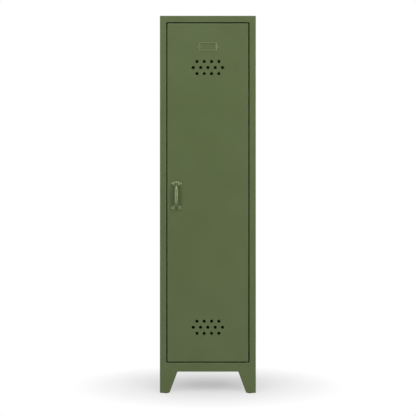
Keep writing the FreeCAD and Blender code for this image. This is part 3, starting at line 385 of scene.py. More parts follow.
side_low, side_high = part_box("left_side_panel")
left_side = steel_block("left_side_sheet", side_low, side_high)
knees = (frame_low.y + leg_top_width, back_high.y - leg_top_width)
feet = (frame_low.y + side_leg_foot, back_high.y - side_leg_foot)
cut_between_legs(deep, across, knees, feet, side_low.z, leg_height)
pick("EDGE", lambda edge: arris(edge, across) and at(spot(edge).z, leg_height))
round_off(blunt_offset(arch_corner, knees[0] - feet[0], leg_height - side_low.z), round_steps)
pick("FACE", lambda face: abs(face.normal.z) > square_on
     and (at(spot(face).z, side_low.z) or at(spot(face).z, side_high.z)))
bpy.ops.mesh.delete(type="FACE")
fold_back(left_side, across, side_low.x, side_high.x)
thicken(left_side, sheet_gauge)
right_side = copy_of(left_side, "right_side_sheet", other_hand=True)
for side_sheet, node in ((left_side, "left_side_panel"), (right_side, "right_side_panel")):
    smooth_bends(side_sheet)
    fit(side_sheet, olive_coat, "locker_green", "carcass", node)


# Top, floor and hat shelf
# Three shallow trays with their edges folded down. The top and the floor are welded between the
# side panels, and the shelf, open at its ends, lies on two angles.
def tray(name, node, open_ends):
    """Sheet with its edges folded down, on all four sides or at the front and back only."""
    low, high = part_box(node)
    piece = steel_block(name, low, high)
    if open_ends:
        pick("FACE", lambda face: abs(face.normal.x) > square_on)
        bpy.ops.mesh.delete(type="FACE")
    else:
        pick("EDGE", lambda edge: arris(edge, up))
        round_off(outer_corner, round_steps)
    fold_back(piece, up, high.z, low.z)
    thicken(piece, sheet_gauge)
    smooth_bends(piece)
    fit(piece, olive_coat, "locker_green", "carcass", node)


tray("top_sheet", "top_panel", False)
tray("floor_sheet", "floor_panel", False)
tray("shelf_sheet", "hat_shelf", True)


# Angles
# Two bearers carry the shelf, and a long strike stops the door behind the left upright. Each is a
# strip of thicker sheet folded once along its length and spot welded in place.
angle_gauge = 1.5 * mm


def angle_strip(name, node, keep_x, keep_other):
    """Strip folded once: only the two faces that lie at the given places are kept."""
    axis, place = keep_other
    piece = steel_block(name, *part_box(node))
    pick("FACE", lambda face: not (abs(face.normal.x) > square_on and at(spot(face).x, keep_x))
         and not (abs(face.normal[axis]) > square_on and at(spot(face)[axis], place)))
    bpy.ops.mesh.delete(type="FACE")
    pick("EDGE", lambda edge: len(edge.link_faces) == 2)
    round_off(bend_radius, round_steps)
    thicken(piece, angle_gauge)
    return piece


bearer_low, bearer_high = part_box("left_shelf_bearer")
left_bearer = angle_strip("left_bearer_angle", "left_shelf_bearer", bearer_low.x, (up, bearer_high.z))
right_bearer = copy_of(left_bearer, "right_bearer_angle", other_hand=True)
for bearer, node in ((left_bearer, "left_shelf_bearer"), (right_bearer, "right_shelf_bearer")):
    smooth_bends(bearer)
    fit(bearer, olive_coat, "locker_green", "carcass", node)

strike_low, strike_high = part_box("door_strike")
strike = angle_strip("strike_angle", "door_strike", strike_low.x, (deep, strike_high.y))


# Magnetic catch
# A moulded housing is screwed behind the strike and looks through a window in it. It holds a bar
# of ferrite between two steel plates, which pull the door shut.
catch_nose_width = 10 * mm
catch_nose_height = 36 * mm
catch_edge = 0.8 * mm
edge_steps = 3
overcut = 1 * mm
catch_low, catch_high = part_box("catch_housing")
plates_low, plates_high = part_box("catch_pole_plates")
catch_middle = (catch_low + catch_high) / 2
nose_reach = Vector((catch_nose_width, catch_high.y - catch_low.y, catch_nose_height)) / 2
nose_low = catch_middle - nose_reach
nose_high = catch_middle + nose_reach


def plain_block(name, low, high):
    """Block in object mode, as a tool or a start."""
    piece = steel_block(name, low, high)
    bpy.ops.object.mode_set(mode="OBJECT")
    return piece


play = Vector((0.3, 0, 0.3)) * mm
combine(strike, plain_block("catch_window", nose_low - play, nose_high + play), "DIFFERENCE")
smooth_bends(strike)
fit(strike, olive_coat, "locker_green", "carcass", "door_strike")

catch_plastic, nodes, links, shader, place = new_finish("catch_moulding")
speck = grain(nodes, links, place, 900, 3)
two_tones(nodes, links, grain(nodes, links, place, 60, 3), (0.52, 0.51, 0.46), (0.60, 0.59, 0.55),
          shader.inputs["Base Color"])
between(nodes, links, speck, 0.38, 0.52, shader.inputs["Roughness"])
links.new(relief(nodes, links, speck, 0.03 * mm, 0.4), shader.inputs["Normal"])

catch = steel_block("catch_moulding", (catch_low.x, strike_high.y, catch_low.z), catch_high)
pick("EDGE", lambda edge: True)
round_off(catch_edge, edge_steps)
bpy.ops.object.mode_set(mode="OBJECT")
combine(catch, plain_block("catch_nose", nose_low, nose_high - Vector((0, overcut, 0))), "UNION")
chamber_low = (plates_low.x, nose_low.y - overcut, plates_low.z)
combine(catch, plain_block("catch_chamber", chamber_low, plates_high), "DIFFERENCE")
smooth_bends(catch)
fit(catch, catch_plastic, "catch_plastic", "carcass", "catch_housing")

ferrite, nodes, links, shader, place = new_finish("sintered_ferrite")
crumb = grain(nodes, links, place, 1500, 6)
two_tones(nodes, links, crumb, (0.025, 0.025, 0.028), (0.06, 0.06, 0.066), shader.inputs["Base Color"])
between(nodes, links, crumb, 0.45, 0.7, shader.inputs["Roughness"])
links.new(relief(nodes, links, crumb, 0.06 * mm, 0.6), shader.inputs["Normal"])
shader.inputs["Metallic"].default_value = 0.3
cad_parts["catch_magnet"].active_material = ferrite


# Zinc plated hardware
# The pivot plates, rail brackets, nuts, catch screws and pole plates are bare steel under a bright
# zinc plate, with the faint yellow and blue drift that the passivation leaves.
zinc_plate, nodes, links, shader, place = new_finish("bright_zinc_plate")
drift = grain(nodes, links, place, 45, 4)
frost = grain(nodes, links, place, 1200, 4)
two_tones(nodes, links, drift, (0.55, 0.56, 0.58), (0.66, 0.64, 0.57), shader.inputs["Base Color"])
between(nodes, links, frost, 0.26, 0.42, shader.inputs["Roughness"])
links.new(relief(nodes, links, frost, 0.02 * mm, 0.4), shader.inputs["Normal"])
shader.inputs["Metallic"].default_value = 1.0
for node in ("lower_pivot_plate", "upper_pivot_plate", "catch_pole_plates", "handle_nuts",
             "left_rail_bracket", "right_rail_bracket"):
    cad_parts[node].active_material = zinc_plate


# Hinge
# The door turns on two steel pins riveted into the frame and painted with it. They run in flanged
# bushes of natural nylon, one in each end of the door.
nylon, nodes, links, shader, place = new_finish("natural_nylon")
two_tones(nodes, links, grain(nodes, links, place, 90, 3), (0.62, 0.60, 0.51), (0.74, 0.72, 0.64),
          shader.inputs["Base Color"])
between(nodes, links, grain(nodes, links, place, 1500, 2), 0.30, 0.44, shader.inputs["Roughness"])
shader.inputs["Subsurface Weight"].default_value = 0.15
shader.inputs["Subsurface Scale"].default_value = 1 * mm
for node in ("lower_hinge_bush", "upper_hinge_bush"):
    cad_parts[node].active_material = nylon
for node in ("lower_hinge_pin", "upper_hinge_pin"):
    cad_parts[node].active_material = olive_coat


# Foot glides
# A moulded black button under each leg keeps the folded steel off the floor. Its stem is pushed
# into a hole in the folded foot. The door's thrust washer is of the same plastic.
glide_edge = 0.5 * mm
glide_stem = 0.34
crown = 0.04

black_plastic, nodes, links, shader, place = new_finish("black_moulding")
spark = grain(nodes, links, place, 1400, 3)
two_tones(nodes, links, spark, (0.010, 0.010, 0.010), (0.017, 0.017, 0.016), shader.inputs["Base Color"])
between(nodes, links, spark, 0.42, 0.60, shader.inputs["Roughness"])
links.new(relief(nodes, links, spark, 0.03 * mm, 0.5), shader.inputs["Normal"])


def turned(name, start, axis, rings, sides=40):
    """Turn a piece from rings of a radius and a distance along an axis, closed at both ends."""
    bpy.ops.object.select_all(action="DESELECT")
    turn = Vector((0, 0, 1)).rotation_difference(Vector(axis)).to_euler()
    first_radius, first_place = rings[0]
    bpy.ops.mesh.primitive_circle_add(vertices=sides, radius=first_radius, fill_type="NGON", rotation=turn,
                                      location=Vector(start) + Vector(axis) * first_place)
    piece = bpy.context.object
    piece.name = name
    piece.data.name = name
    bpy.ops.object.transform_apply(location=True, rotation=True, scale=True)
    bpy.ops.object.mode_set(mode="EDIT")
    bpy.ops.mesh.select_all(action="SELECT")
    for (radius, place), (next_radius, next_place) in zip(rings, rings[1:]):
        step = Vector(axis) * (next_place - place)
        bpy.ops.mesh.extrude_region_move(TRANSFORM_OT_translate={"value": step})
        ratio = next_radius / radius
        bpy.ops.transform.resize(value=(ratio, ratio, ratio),
                                 center_override=Vector(start) + Vector(axis) * next_place)
    bpy.ops.mesh.select_all(action="SELECT")
    bpy.ops.mesh.normals_make_consistent(inside=False)
    bpy.ops.object.mode_set(mode="OBJECT")
    return piece


def dome(radius, base, height, steps=6):
    """Rings of a rounded head from its rim to near its crown."""
    return [(radius * cos(pi / 2 * step / steps), base + height * sin(pi / 2 * step / steps))
            for step in range(steps)] + [(radius * crown, base + height)]


glide_low, glide_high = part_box("front_left_glide")
glide_radius = (glide_high.x - glide_low.x) / 2
glide_height = frame_low.z - glide_low.z
glide_foot = Vector(((glide_low.x + glide_high.x) / 2, (glide_low.y + glide_high.y) / 2, glide_low.z))
first_glide = turned("front_left_foot_button", glide_foot, (0, 0, 1), [
    (glide_radius - 2 * glide_edge, 0),
    (glide_radius - glide_edge, 0.2 * glide_edge),
    (glide_radius, glide_edge),
    (glide_radius, glide_height),
    (glide_radius * glide_stem, glide_height),
    (glide_radius * glide_stem, glide_high.z - glide_low.z),
])
smooth_bends(first_glide)
glides = {"front_left_glide": first_glide}
for corner in ("front_right", "rear_left", "rear_right"):
    node = f"{corner}_glide"
    glides[node] = copy_of(first_glide, f"{corner}_foot_button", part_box(node)[0] - glide_low)
for node, glide in glides.items():
    fit(glide, black_plastic, "black_plastic", "carcass", node)
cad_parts["thrust_washer"].active_material = black_plastic


# Coat rail
# A chromed steel tube hangs in two ring brackets riveted under the shelf, and a plastic cap with a
# low dome closes each end.
rail_wall = 1.2 * mm
cap_edge = 0.9 * mm

chrome, nodes, links, shader, place = new_finish("chrome_plate")
stretch = nodes.new("ShaderNodeMapping")
stretch.inputs["Scale"].default_value = (0.02, 1, 1)
links.new(place, stretch.inputs["Vector"])
draw_lines = grain(nodes, links, stretch.outputs["Vector"], 1500, 3)
two_tones(nodes, links, grain(nodes, links, place, 20, 2), (0.72, 0.72, 0.73), (0.80, 0.80, 0.80),
          shader.inputs["Base Color"])
between(nodes, links, draw_lines, 0.06, 0.16, shader.inputs["Roughness"])
shader.inputs["Metallic"].default_value = 1.0

rail_low, rail_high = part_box("coat_rail")
rail_radius = (rail_high.z - rail_low.z) / 2
rail_length = rail_high.x - rail_low.x
rail_start = Vector((rail_low.x, (rail_low.y + rail_high.y) / 2, (rail_low.z + rail_high.z) / 2))
rail = turned("coat_rail_tube", rail_start, (1, 0, 0), [
    (rail_radius - rail_wall, 0),
    (rail_radius, 0),
    (rail_radius, rail_length),
    (rail_radius - rail_wall, rail_length),
], sides=48)
smooth_bends(rail)
fit(rail, chrome, "rail_chrome", "carcass", "coat_rail")

caps_low, caps_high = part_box("rail_end_caps")
cap_radius = (caps_high.z - caps_low.z) / 2
cap_depth = caps_high.x - rail_high.x


def gather(name, pieces):
    """Make one object of like pieces, each still a shell of its own."""
    bpy.ops.object.select_all(action="DESELECT")
    for piece in pieces:
        piece.select_set(True)
    bpy.context.view_layer.objects.active = pieces[0]
    bpy.ops.object.join()
    pieces[0].name = name
    pieces[0].data.name = name
    return pieces[0]


right_cap = turned("rail_cap", (rail_high.x, rail_start.y, rail_start.z), (1, 0, 0), [
    (cap_radius - 2 * rail_wall, -2 * rail_wall),
    (cap_radius - 2 * rail_wall, 0),
    (cap_radius, 0),
    (cap_radius, cap_depth - 2 * cap_edge),
    (cap_radius - 0.3 * cap_edge, cap_depth - cap_edge),
    (cap_radius - 1.5 * cap_edge, cap_depth - 0.2 * cap_edge),
    (cap_radius * 0.4, cap_depth),
], sides=48)
left_cap = copy_of(right_cap, "left_rail_cap", other_hand=True)
for cap in (left_cap, right_cap):
    smooth_bends(cap)
fit(gather("rail_caps", [left_cap, right_cap]), black_plastic, "black_plastic", "carcass", "rail_end_caps")


# Rivets and small screws
# Dome rivets hold the rail brackets under the shelf, and two pan-head screws hold the catch behind
# the strike. All are of steel, zinc plated.
def shells_of(node):
    """Boxes of the separate solids of a node, lowest and highest corner."""
    mesh = bmesh.new()
    mesh.from_mesh(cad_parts[node].data)
    bmesh.ops.remove_doubles(mesh, verts=mesh.verts, dist=touch)
    left = set(mesh.verts)
    boxes = []
    while left:
        shell = {left.pop()}
        edge_of_shell = set(shell)
        while edge_of_shell:
            near = {link.other_vert(corner) for corner in edge_of_shell for link in corner.link_edges}
            edge_of_shell = near - shell
            shell |= near
        left -= shell
        boxes.append((Vector([min(corner.co[axis] for corner in shell) for axis in range(3)]),
                      Vector([max(corner.co[axis] for corner in shell) for axis in range(3)])))
    mesh.free()
    return sorted(boxes, key=lambda box: tuple(round(value, 4) for value in box[0]))


def set_of(piece, name, boxes):
    """Copy a finished piece from the first of some boxes to the others, and make one object of the set."""
    smooth_bends(piece)
    return gather(name, [piece] + [copy_of(piece, name, low - boxes[0][0]) for low, _ in boxes[1:]])


rivet_head = 1.3 * mm
rivet_shank = 0.55
rivet_boxes = shells_of("rail_rivets")
low, high = rivet_boxes[0]
radius = (high.x - low.x) / 2
length = high.z - low.z
rings = [(r, rivet_head - h) for r, h in reversed(dome(radius, 0, rivet_head))]
rings += [(radius * rivet_shank, rivet_head), (radius * rivet_shank, length - rivet_head)]
rings += dome(radius, length - rivet_head, rivet_head)
rivet_start = ((low.x + high.x) / 2, (low.y + high.y) / 2, low.z)
rivet = turned("rail_rivet", rivet_start, (0, 0, 1), rings, sides=24)
fit(set_of(rivet, "rail_rivet_set", rivet_boxes), zinc_plate, "zinc_steel", "carcass", "rail_rivets")

screw_head = 1.8 * mm
screw_shank = 0.5
recess_width = 0.9 * mm
recess_length = 3.4 * mm
recess_depth = 1.0 * mm


def cross_recess(screw, top):
    """Cut a cross for the driver into a head that faces the front."""
    for width, height in ((recess_length, recess_width), (recess_width, recess_length)):
        reach = Vector((width, 2 * recess_depth, height)) / 2
        combine(screw, plain_block("driver", top - reach, top + reach), "DIFFERENCE")


screw_boxes = shells_of("catch_screws")
low, high = screw_boxes[0]
radius = (high.x - low.x) / 2
seat = Vector(((low.x + high.x) / 2, low.y + screw_head, (low.z + high.z) / 2))
rings = [(radius * screw_shank, low.y - high.y + screw_head), (radius * screw_shank, 0)]
rings += dome(radius, 0, screw_head)
screw = turned("catch_screw", seat, (0, -1, 0), rings, sides=32)
cross_recess(screw, Vector((seat.x, low.y, seat.z)))
fit(set_of(screw, "catch_screw_pair", screw_boxes), zinc_plate, "zinc_steel", "carcass", "catch_screws")


# Door bumpers
# Two rubber buttons that the closed door rests against. Each is moulded in one piece and pulled
# through a hole in the strike, which it grips with its barb.
rubber, nodes, links, shader, place = new_finish("bumper_rubber")
bloom = grain(nodes, links, place, 400, 5)
two_tones(nodes, links, bloom, (0.008, 0.008, 0.008), (0.016, 0.016, 0.016), shader.inputs["Base Color"])
between(nodes, links, bloom, 0.62, 0.85, shader.inputs["Roughness"])
links.new(relief(nodes, links, bloom, 0.04 * mm, 0.4), shader.inputs["Normal"])

bumper_edge = 1 * mm
bumper_boxes = shells_of("door_bumpers")
low, high = bumper_boxes[0]
radius = (high.x - low.x) / 2
pad = strike_high.y - angle_gauge - low.y
bumper = turned("bumper", ((low.x + high.x) / 2, low.y, (low.z + high.z) / 2), (0, 1, 0), [
    (radius * 0.3, 0),
    (radius - 1.4 * bumper_edge, 0.1 * bumper_edge),
    (radius - 0.4 * bumper_edge, 0.4 * bumper_edge),
    (radius, bumper_edge),
    (radius, pad),
    (radius * 0.5, pad),
    (radius * 0.5, pad + angle_gauge),
    (radius * 0.64, pad + angle_gauge),
    (radius * 0.4, high.y - low.y),
], sides=32)
fit(set_of(bumper, "bumper_pair", bumper_boxes), rubber, "black_rubber", "carcass", "door_bumpers")


# Door panel
# A shallow pan with its edges folded back and a lip turned in round its back, notched at the
# corners. Two groups of round vent holes are punched through its face before it is folded.
door_corner = 4 * mm
door_lip = 14 * mm
lip_notch = 19 * mm
vent_radius = 7.4 * mm
vent_pitch = 35.4 * mm
vent_row_pitch = 29.4 * mm
vent_rows = (4, 5, 4)
vent_slack = 0.1 * mm
upper_vents = door_high.z - 214.5 * mm
lower_vents = door_low.z + 167 * mm
punched_edge = 0.5 * mm
punched_steps = 2

door_sheet = steel_block("door_sheet", door_low, door_high)
for place in (door_low.x + lip_notch, door_high.x - lip_notch):
    slice_at(across, place)
for place in (door_low.z + lip_notch, door_high.z - lip_notch):
    slice_at(up, place)
pick("EDGE", lambda edge: arris(edge, deep))
round_off(door_corner, corner_steps)
fold_back(door_sheet, deep, door_low.y, door_high.y)


def turn_lip(axis, wall, inward):
    """Fold a lip from the middle stretch of one back edge."""
    other = across if axis == up else up
    first, last = door_low[other] + lip_notch, door_high[other] - lip_notch
    pick("EDGE", lambda edge: edge.is_boundary and at(spot(edge)[axis], wall)
         and at(spot(edge).y, door_high.y) and first - touch < spot(edge)[other] < last + touch)
    shift = Vector()
    shift[axis] = inward * door_lip
    bpy.ops.mesh.extrude_region_move(TRANSFORM_OT_translate={"value": shift})


for axis in (across, up):
    turn_lip(axis, door_low[axis], 1)
    turn_lip(axis, door_high[axis], -1)
thicken(door_sheet, sheet_gauge)
vents = [((step - (count - 1) / 2) * vent_pitch, door_low.y, middle + row * vent_row_pitch)
         for middle in (lower_vents, upper_vents)
         for row, count in enumerate(vent_rows, start=-1)
         for step in range(count)]
combine(door_sheet, drill("vent_punch", vent_radius, punch_length, vents, to_front, sides=40), "DIFFERENCE")
bpy.ops.object.mode_set(mode="EDIT")
pick("EDGE", lambda edge: all(at(corner.co.y, door_low.y) for corner in edge.verts) and any(
    abs(hypot(spot(edge).x - x, spot(edge).z - z) - vent_radius) < vent_slack for x, _, z in vents))
round_off(punched_edge, punched_steps)
bpy.ops.object.mode_set(mode="OBJECT")
smooth_bends(door_sheet)
fit(door_sheet, olive_coat, "locker_green", "door", "door_panel")


# Door stiffener
# A hat section of the same sheet, spot welded down the middle of the door's back, that keeps the
# thin face from drumming.
hat_flange = 14 * mm
hat_low, hat_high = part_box("door_stiffener")
flange_skin = hat_low.y + sheet_gauge
web = hat_high.x - hat_flange
hat = steel_block("door_hat_section", (-web, flange_skin, hat_low.z), (web, hat_high.y, hat_high.z))
pick("FACE", lambda face: abs(face.normal.z) > square_on or face.normal.y < -square_on)
bpy.ops.mesh.delete(type="FACE")
for side in (-1, 1):
    pick("EDGE", lambda edge: at(spot(edge).x, side * web) and at(spot(edge).y, flange_skin))
    bpy.ops.mesh.extrude_region_move(TRANSFORM_OT_translate={"value": (side * hat_flange, 0, 0)})
pick("EDGE", lambda edge: len(edge.link_faces) == 2 and edge.calc_face_angle(0) > crease)
round_off(bend_radius, round_steps)
thicken(hat, sheet_gauge)
smooth_bends(hat)
fit(hat, olive_coat, "locker_green", "door", "door_stiffener")


# Bow handle
# One casting: a grip of oval section on two sloping necks, and at each end a lens-shaped foot. It is
# stoved in the door's colour with a glossier enamel and held by two screws through each foot.
handle_enamel, nodes, links, shader, place = new_finish("handle_enamel")
two_tones(nodes, links, grain(nodes, links, place, 40, 3), coat_dark, coat_light,
          shader.inputs["Base Color"])
skin = grain(nodes, links, place, 300, 2)
between(nodes, links, skin, 0.3, 0.36, shader.inputs["Roughness"])
links.new(relief(nodes, links, skin, 0.03 * mm, 0.2), shader.inputs["Normal"])
shader.inputs["IOR"].default_value = 2.1
shader.inputs["Specular Tint"].default_value = (0.9, 1, 0.7, 1)

handle_low, handle_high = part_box("pull_handle")
handle_middle = (handle_low + handle_high) / 2
handle_middle.y = frame_low.y
foot_spacing = 114 * mm
foot_half_width = 27.6 * mm
foot_half_height = 14 * mm
foot_rise = 4.6 * mm
neck_flare = 1.1
neck_root = 4 * mm
neck_depth = 5 * mm
neck_start = 12 * mm
neck_slope = radians(45)
neck_half_width = 7 * mm
neck_half_depth = 6 * mm
grip_half_width = 10 * mm
grip_half_depth = 7.5 * mm
handle_reach = 36 * mm
bow_bend = 22 * mm
bend_swell = 0.8
bend_thinning = 0.8 * mm
ring_sides = 32


def loft(name, sides, rings):
    """Skin drawn through rings, each a rule that gives the place of one of its numbered points."""
    bpy.ops.object.select_all(action="DESELECT")
    bpy.ops.mesh.primitive_circle_add(vertices=sides, radius=10 * mm)
    piece = bpy.context.object
    piece.name = name
    piece.data.name = name
    bpy.ops.object.mode_set(mode="EDIT")
    bpy.ops.mesh.select_all(action="SELECT")
    numbers = {}
    for ring in rings:
        if numbers:
            bpy.ops.mesh.extrude_region_move()
        mesh = bmesh.from_edit_mesh(piece.data)
        mesh.verts.index_update()
        fresh = [corner for corner in mesh.verts if corner.select]
        if numbers:
            numbers = {
                corner.index: next(numbers[link.other_vert(corner).index] for link in corner.link_edges
                                   if link.other_vert(corner).index in numbers)
                for corner in fresh}
        else:
            numbers = {corner.index: corner.index for corner in fresh}
        for corner in fresh:
            corner.co = ring(numbers[corner.index])
        bmesh.update_edit_mesh(piece.data)
    return piece


def lens_reach(turn):
    """Distance from the middle of a lens to its rim in one direction."""
    arc = (foot_half_width ** 2 + foot_half_height ** 2) / (2 * foot_half_height)
    off = arc - foot_half_height
    return sqrt(arc ** 2 - (off * cos(turn)) ** 2) - off * abs(sin(turn))


def oval_reach(turn, half_width, half_depth):
    """Distance from the middle of an oval to its rim in one direction."""
    return 1 / hypot(cos(turn) / half_width, sin(turn) / half_depth)


upper_foot = handle_middle + Vector((0, 0, foot_spacing / 2))


def foot_ring(share, ridge, slope, lift):
    """Ring between the neck's oval and the foot's lens, deepest along the ridge that joins the screws."""
    def place(number):
        turn = 2 * pi * number / ring_sides
        neck = neck_flare * oval_reach(turn, neck_half_width, neck_half_depth)
        reach = share * lens_reach(turn) + (1 - share) * neck
        depth = ridge * cos(turn) ** 2 + slope * sin(turn) ** 2
        return upper_foot + Vector((reach * cos(turn), -depth, lift + reach * sin(turn)))
    return place


def bow_ring(lean, depth, lift, half_width, half_depth):
    """Oval across the bow, leaning from square to the door (0) to square to the grip (a quarter turn)."""
    def place(number):
        turn = 2 * pi * number / ring_sides
        reach = oval_reach(turn, half_width, half_depth)
        rise = reach * sin(turn)
        return upper_foot + Vector((reach * cos(turn), -depth - rise * sin(lean), lift + rise * cos(lean)))
    return place


handle_rings = [
    foot_ring(1, 0, 0, 0), foot_ring(1, 0.5 * mm, 0.4 * mm, 0), foot_ring(1, 2.4 * mm, 0.9 * mm, 0),
    foot_ring(0.96, 3.6 * mm, 1.3 * mm, 0), foot_ring(0.85, 4.3 * mm, 1.9 * mm, 0),
    foot_ring(0.66, 4.5 * mm, 2.8 * mm, 0.5 * mm), foot_ring(0.42, 4.5 * mm, 3.8 * mm, 0.8 * mm),
    foot_ring(0.16, foot_rise, foot_rise, 1 * mm),
    bow_ring(radians(8), 6.6 * mm, 1.1 * mm, 7.2 * mm, 7.8 * mm),
    bow_ring(radians(22), 9.9 * mm, -0.9 * mm, 7.1 * mm, 6.8 * mm),
]
grip_depth = handle_reach - grip_half_depth
neck_length = (grip_depth - neck_depth - bow_bend * (1 - sin(neck_slope))) / cos(neck_slope)
for run in (neck_start, (neck_start + neck_length) / 2):
    handle_rings.append(bow_ring(neck_slope, neck_depth + run * cos(neck_slope),
                                 neck_root - run * sin(neck_slope), neck_half_width, neck_half_depth))
swell = grip_half_width - neck_half_width
bend_steps = 6
for step in range(bend_steps + 1):
    share = step / bend_steps
    lean = neck_slope + (pi / 2 - neck_slope) * share
    lift = neck_root - neck_length * sin(neck_slope) - bow_bend * (cos(neck_slope) - cos(lean))
    handle_rings.append(bow_ring(lean, grip_depth - bow_bend * (1 - sin(lean)), lift,
                                 neck_half_width + bend_swell * share * swell,
                                 neck_half_depth - bend_thinning * sin(pi * share)))
grip_steps = 3
grip_run = foot_spacing / 2 + lift
for step in range(1, grip_steps + 1):
    share = step / grip_steps
    ease = sin(pi / 2 * share)
    half_width = neck_half_width + (bend_swell + (1 - bend_swell) * ease) * swell
    half_depth = neck_half_depth + ease * (grip_half_depth - neck_half_depth)
    handle_rings.append(bow_ring(pi / 2, grip_depth, lift - grip_run * share, half_width, half_depth))

handle = loft("bow_handle", ring_sides, handle_rings)
bpy.ops.mesh.select_all(action="SELECT")
bpy.ops.mesh.duplicate()
bpy.ops.transform.resize(value=(1, 1, -1), center_override=handle_middle)
bpy.ops.mesh.select_all(action="SELECT")
bpy.ops.mesh.remove_doubles(threshold=touch)
pick("EDGE", lambda edge: edge.is_boundary)
bpy.ops.mesh.edge_face_add()
bpy.ops.mesh.select_all(action="SELECT")
bpy.ops.mesh.normals_make_consistent(inside=False)
bpy.ops.object.mode_set(mode="OBJECT")
soft = handle.modifiers.new("soft", "SUBSURF")
soft.levels = 2
soft.render_levels = 2
bpy.ops.object.modifier_apply(modifier=soft.name)


# Handle screws
# Four dome-head machine screws in the handle's enamel, which shines most on their polished heads.
# Each sits on a seat faced into the handle's foot and runs into a nut behind the face sheet.
dome_head = 2.4 * mm
dome_shank = 0.52
dome_steps = 8
seat_radius = 5 * mm
seat_height = 4 * mm
screw_boxes = shells_of("handle_screws")
seats = [((low.x + high.x) / 2, frame_low.y - seat_height - foot_rise / 2, (low.z + high.z) / 2)
         for low, high in screw_boxes]
combine(handle, drill("seat_cutter", seat_radius, foot_rise, seats, to_front, sides=40), "DIFFERENCE")
bpy.ops.object.shade_smooth_by_angle(angle=radians(40))
fit(handle, handle_enamel, "locker_green", "door", "pull_handle")

low, high = screw_boxes[0]
radius = (high.x - low.x) / 2
seat = Vector(((low.x + high.x) / 2, low.y + dome_head, (low.z + high.z) / 2))
rings = [(radius * dome_shank, low.y - high.y + dome_head), (radius * dome_shank, 0)]
rings += dome(radius, 0, dome_head, dome_steps)
screw = turned("handle_screw", seat, (0, -1, 0), rings)
cross_recess(screw, Vector((seat.x, low.y, seat.z)))
screw_enamel = handle_enamel.copy()
screw_enamel.name = "screw_enamel"
screw_enamel.node_tree.nodes[shader.name].inputs["IOR"].default_value = 3.6
fit(set_of(screw, "handle_screw_set", screw_boxes), screw_enamel, "locker_green", "door", "handle_screws")


# Card holder
# A pressed steel frame with a rounded rim round an empty window, open behind so that a name card
# slides in from the top. It has the handle's enamel, and two dome rivets through its ears hold it.
card_low, card_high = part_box("label_holder")
card_half = Vector((87, 0, 42.7)) * mm / 2
card_middle = Vector((0, frame_low.y, (card_low.z + card_high.z) / 2))
card_rise = frame_low.y - card_low.y
card_rim = Vector((7, 0, 6)) * mm
card_sheet = 0.8 * mm
card_slot = 1.4 * mm
card_corner = 2.5 * mm
window_corner = 0.5 * mm
card_wall = 2 * mm
ear_height = 11 * mm
ear_thickness = 0.8 * mm
corner_points = 5
rim_steps = 12
crest_lean = 3


def card_ring(share, rise):
    """Rectangle with rounded corners, a share of the way across the rim and raised from the door."""
    radius = card_corner + (window_corner - card_corner) * share

    def place(number):
        quarter, step = divmod(number, corner_points)
        turn = pi / 2 * (quarter + step / (corner_points - 1))
        side = Vector((1 if quarter in (0, 3) else -1, 0, 1 if quarter < 2 else -1))
        down = share ** crest_lean if side.z > 0 else 1 - (1 - share) ** crest_lean
        half = card_half - Vector((card_rim.x * share, 0, card_rim.z * down))
        return card_middle + Vector((side.x * (half.x - radius) + radius * cos(turn), -rise,
                                     side.z * (half.z - radius) + radius * sin(turn)))
    return place


rings = [card_ring(0, 0)]
for step in range(rim_steps + 1):
    share = (1 - cos(pi * step / rim_steps)) / 2
    edge_rise = card_sheet + card_slot * share
    rings.append(card_ring(share, edge_rise + (card_rise - edge_rise) * sin(pi * step / rim_steps)))
rings.append(card_ring(1, 0))
holder = loft("card_frame", 4 * corner_points, rings)
pick("EDGE", lambda edge: edge.is_boundary)
bpy.ops.mesh.bridge_edge_loops()
bpy.ops.mesh.select_all(action="SELECT")
bpy.ops.mesh.normals_make_consistent(inside=False)
bpy.ops.object.mode_set(mode="OBJECT")
slot_low = card_middle - card_half + Vector((card_wall, -card_slot, card_wall))
slot_high = card_middle + card_half + Vector((-card_wall, overcut, card_wall))
combine(holder, plain_block("card_slot", slot_low, slot_high), "DIFFERENCE")
for side in (-1, 1):
    ear_tip = side * (card_high.x - ear_height / 2)
    ear_root = side * (card_half.x - card_wall / 2)
    ear_low = (min(ear_tip, ear_root), frame_low.y - ear_thickness, card_middle.z - ear_height / 2)
    ear_high = (max(ear_tip, ear_root), frame_low.y, card_middle.z + ear_height / 2)
    ear = plain_block("ear", ear_low, ear_high)
    tip = turned("ear_tip", (ear_tip, frame_low.y, card_middle.z), (0, -1, 0),
                 [(ear_height / 2, 0), (ear_height / 2, ear_thickness)], sides=32)
    combine(ear, tip, "UNION")
    combine(holder, ear, "UNION")
smooth_bends(holder)
fit(holder, handle_enamel, "locker_green", "door", "label_holder")

card_rivet_shank = 0.57
rivet_boxes = shells_of("label_rivets")
low, high = rivet_boxes[0]
radius = (high.x - low.x) / 2
length = high.y - low.y - rivet_head
rings = [(radius, -length), (radius, rivet_head - length),
         (radius * card_rivet_shank, rivet_head - length), (radius * card_rivet_shank, 0)]
rings += dome(radius, 0, rivet_head)
rivet_start = ((low.x + high.x) / 2, low.y + rivet_head, (low.z + high.z) / 2)
rivet = turned("card_rivet", rivet_start, (0, -1, 0), rings, sides=28)
fit(set_of(rivet, "card_rivet_pair", rivet_boxes), olive_coat, "locker_green", "door", "label_rivets")


# Studio
# A pale paper floor that runs out into a white backdrop, two tall soft boxes beside the camera and
# a wide one overhead.
def soft_box(name, place, aim, width, height, power):
    """Lamp with a flat face of this size, turned towards a point."""
    light = bpy.data.lights.new(name, "AREA")
    light.shape = "RECTANGLE"
    light.size = width
    light.size_y = height
    light.energy = power
    lamp = bpy.data.objects.new(name, light)
    lamp.location = place
    lamp.rotation_euler = (Vector(aim) - Vector(place)).to_track_quat("-Z", "Y").to_euler()
    bpy.context.scene.collection.objects.link(lamp)


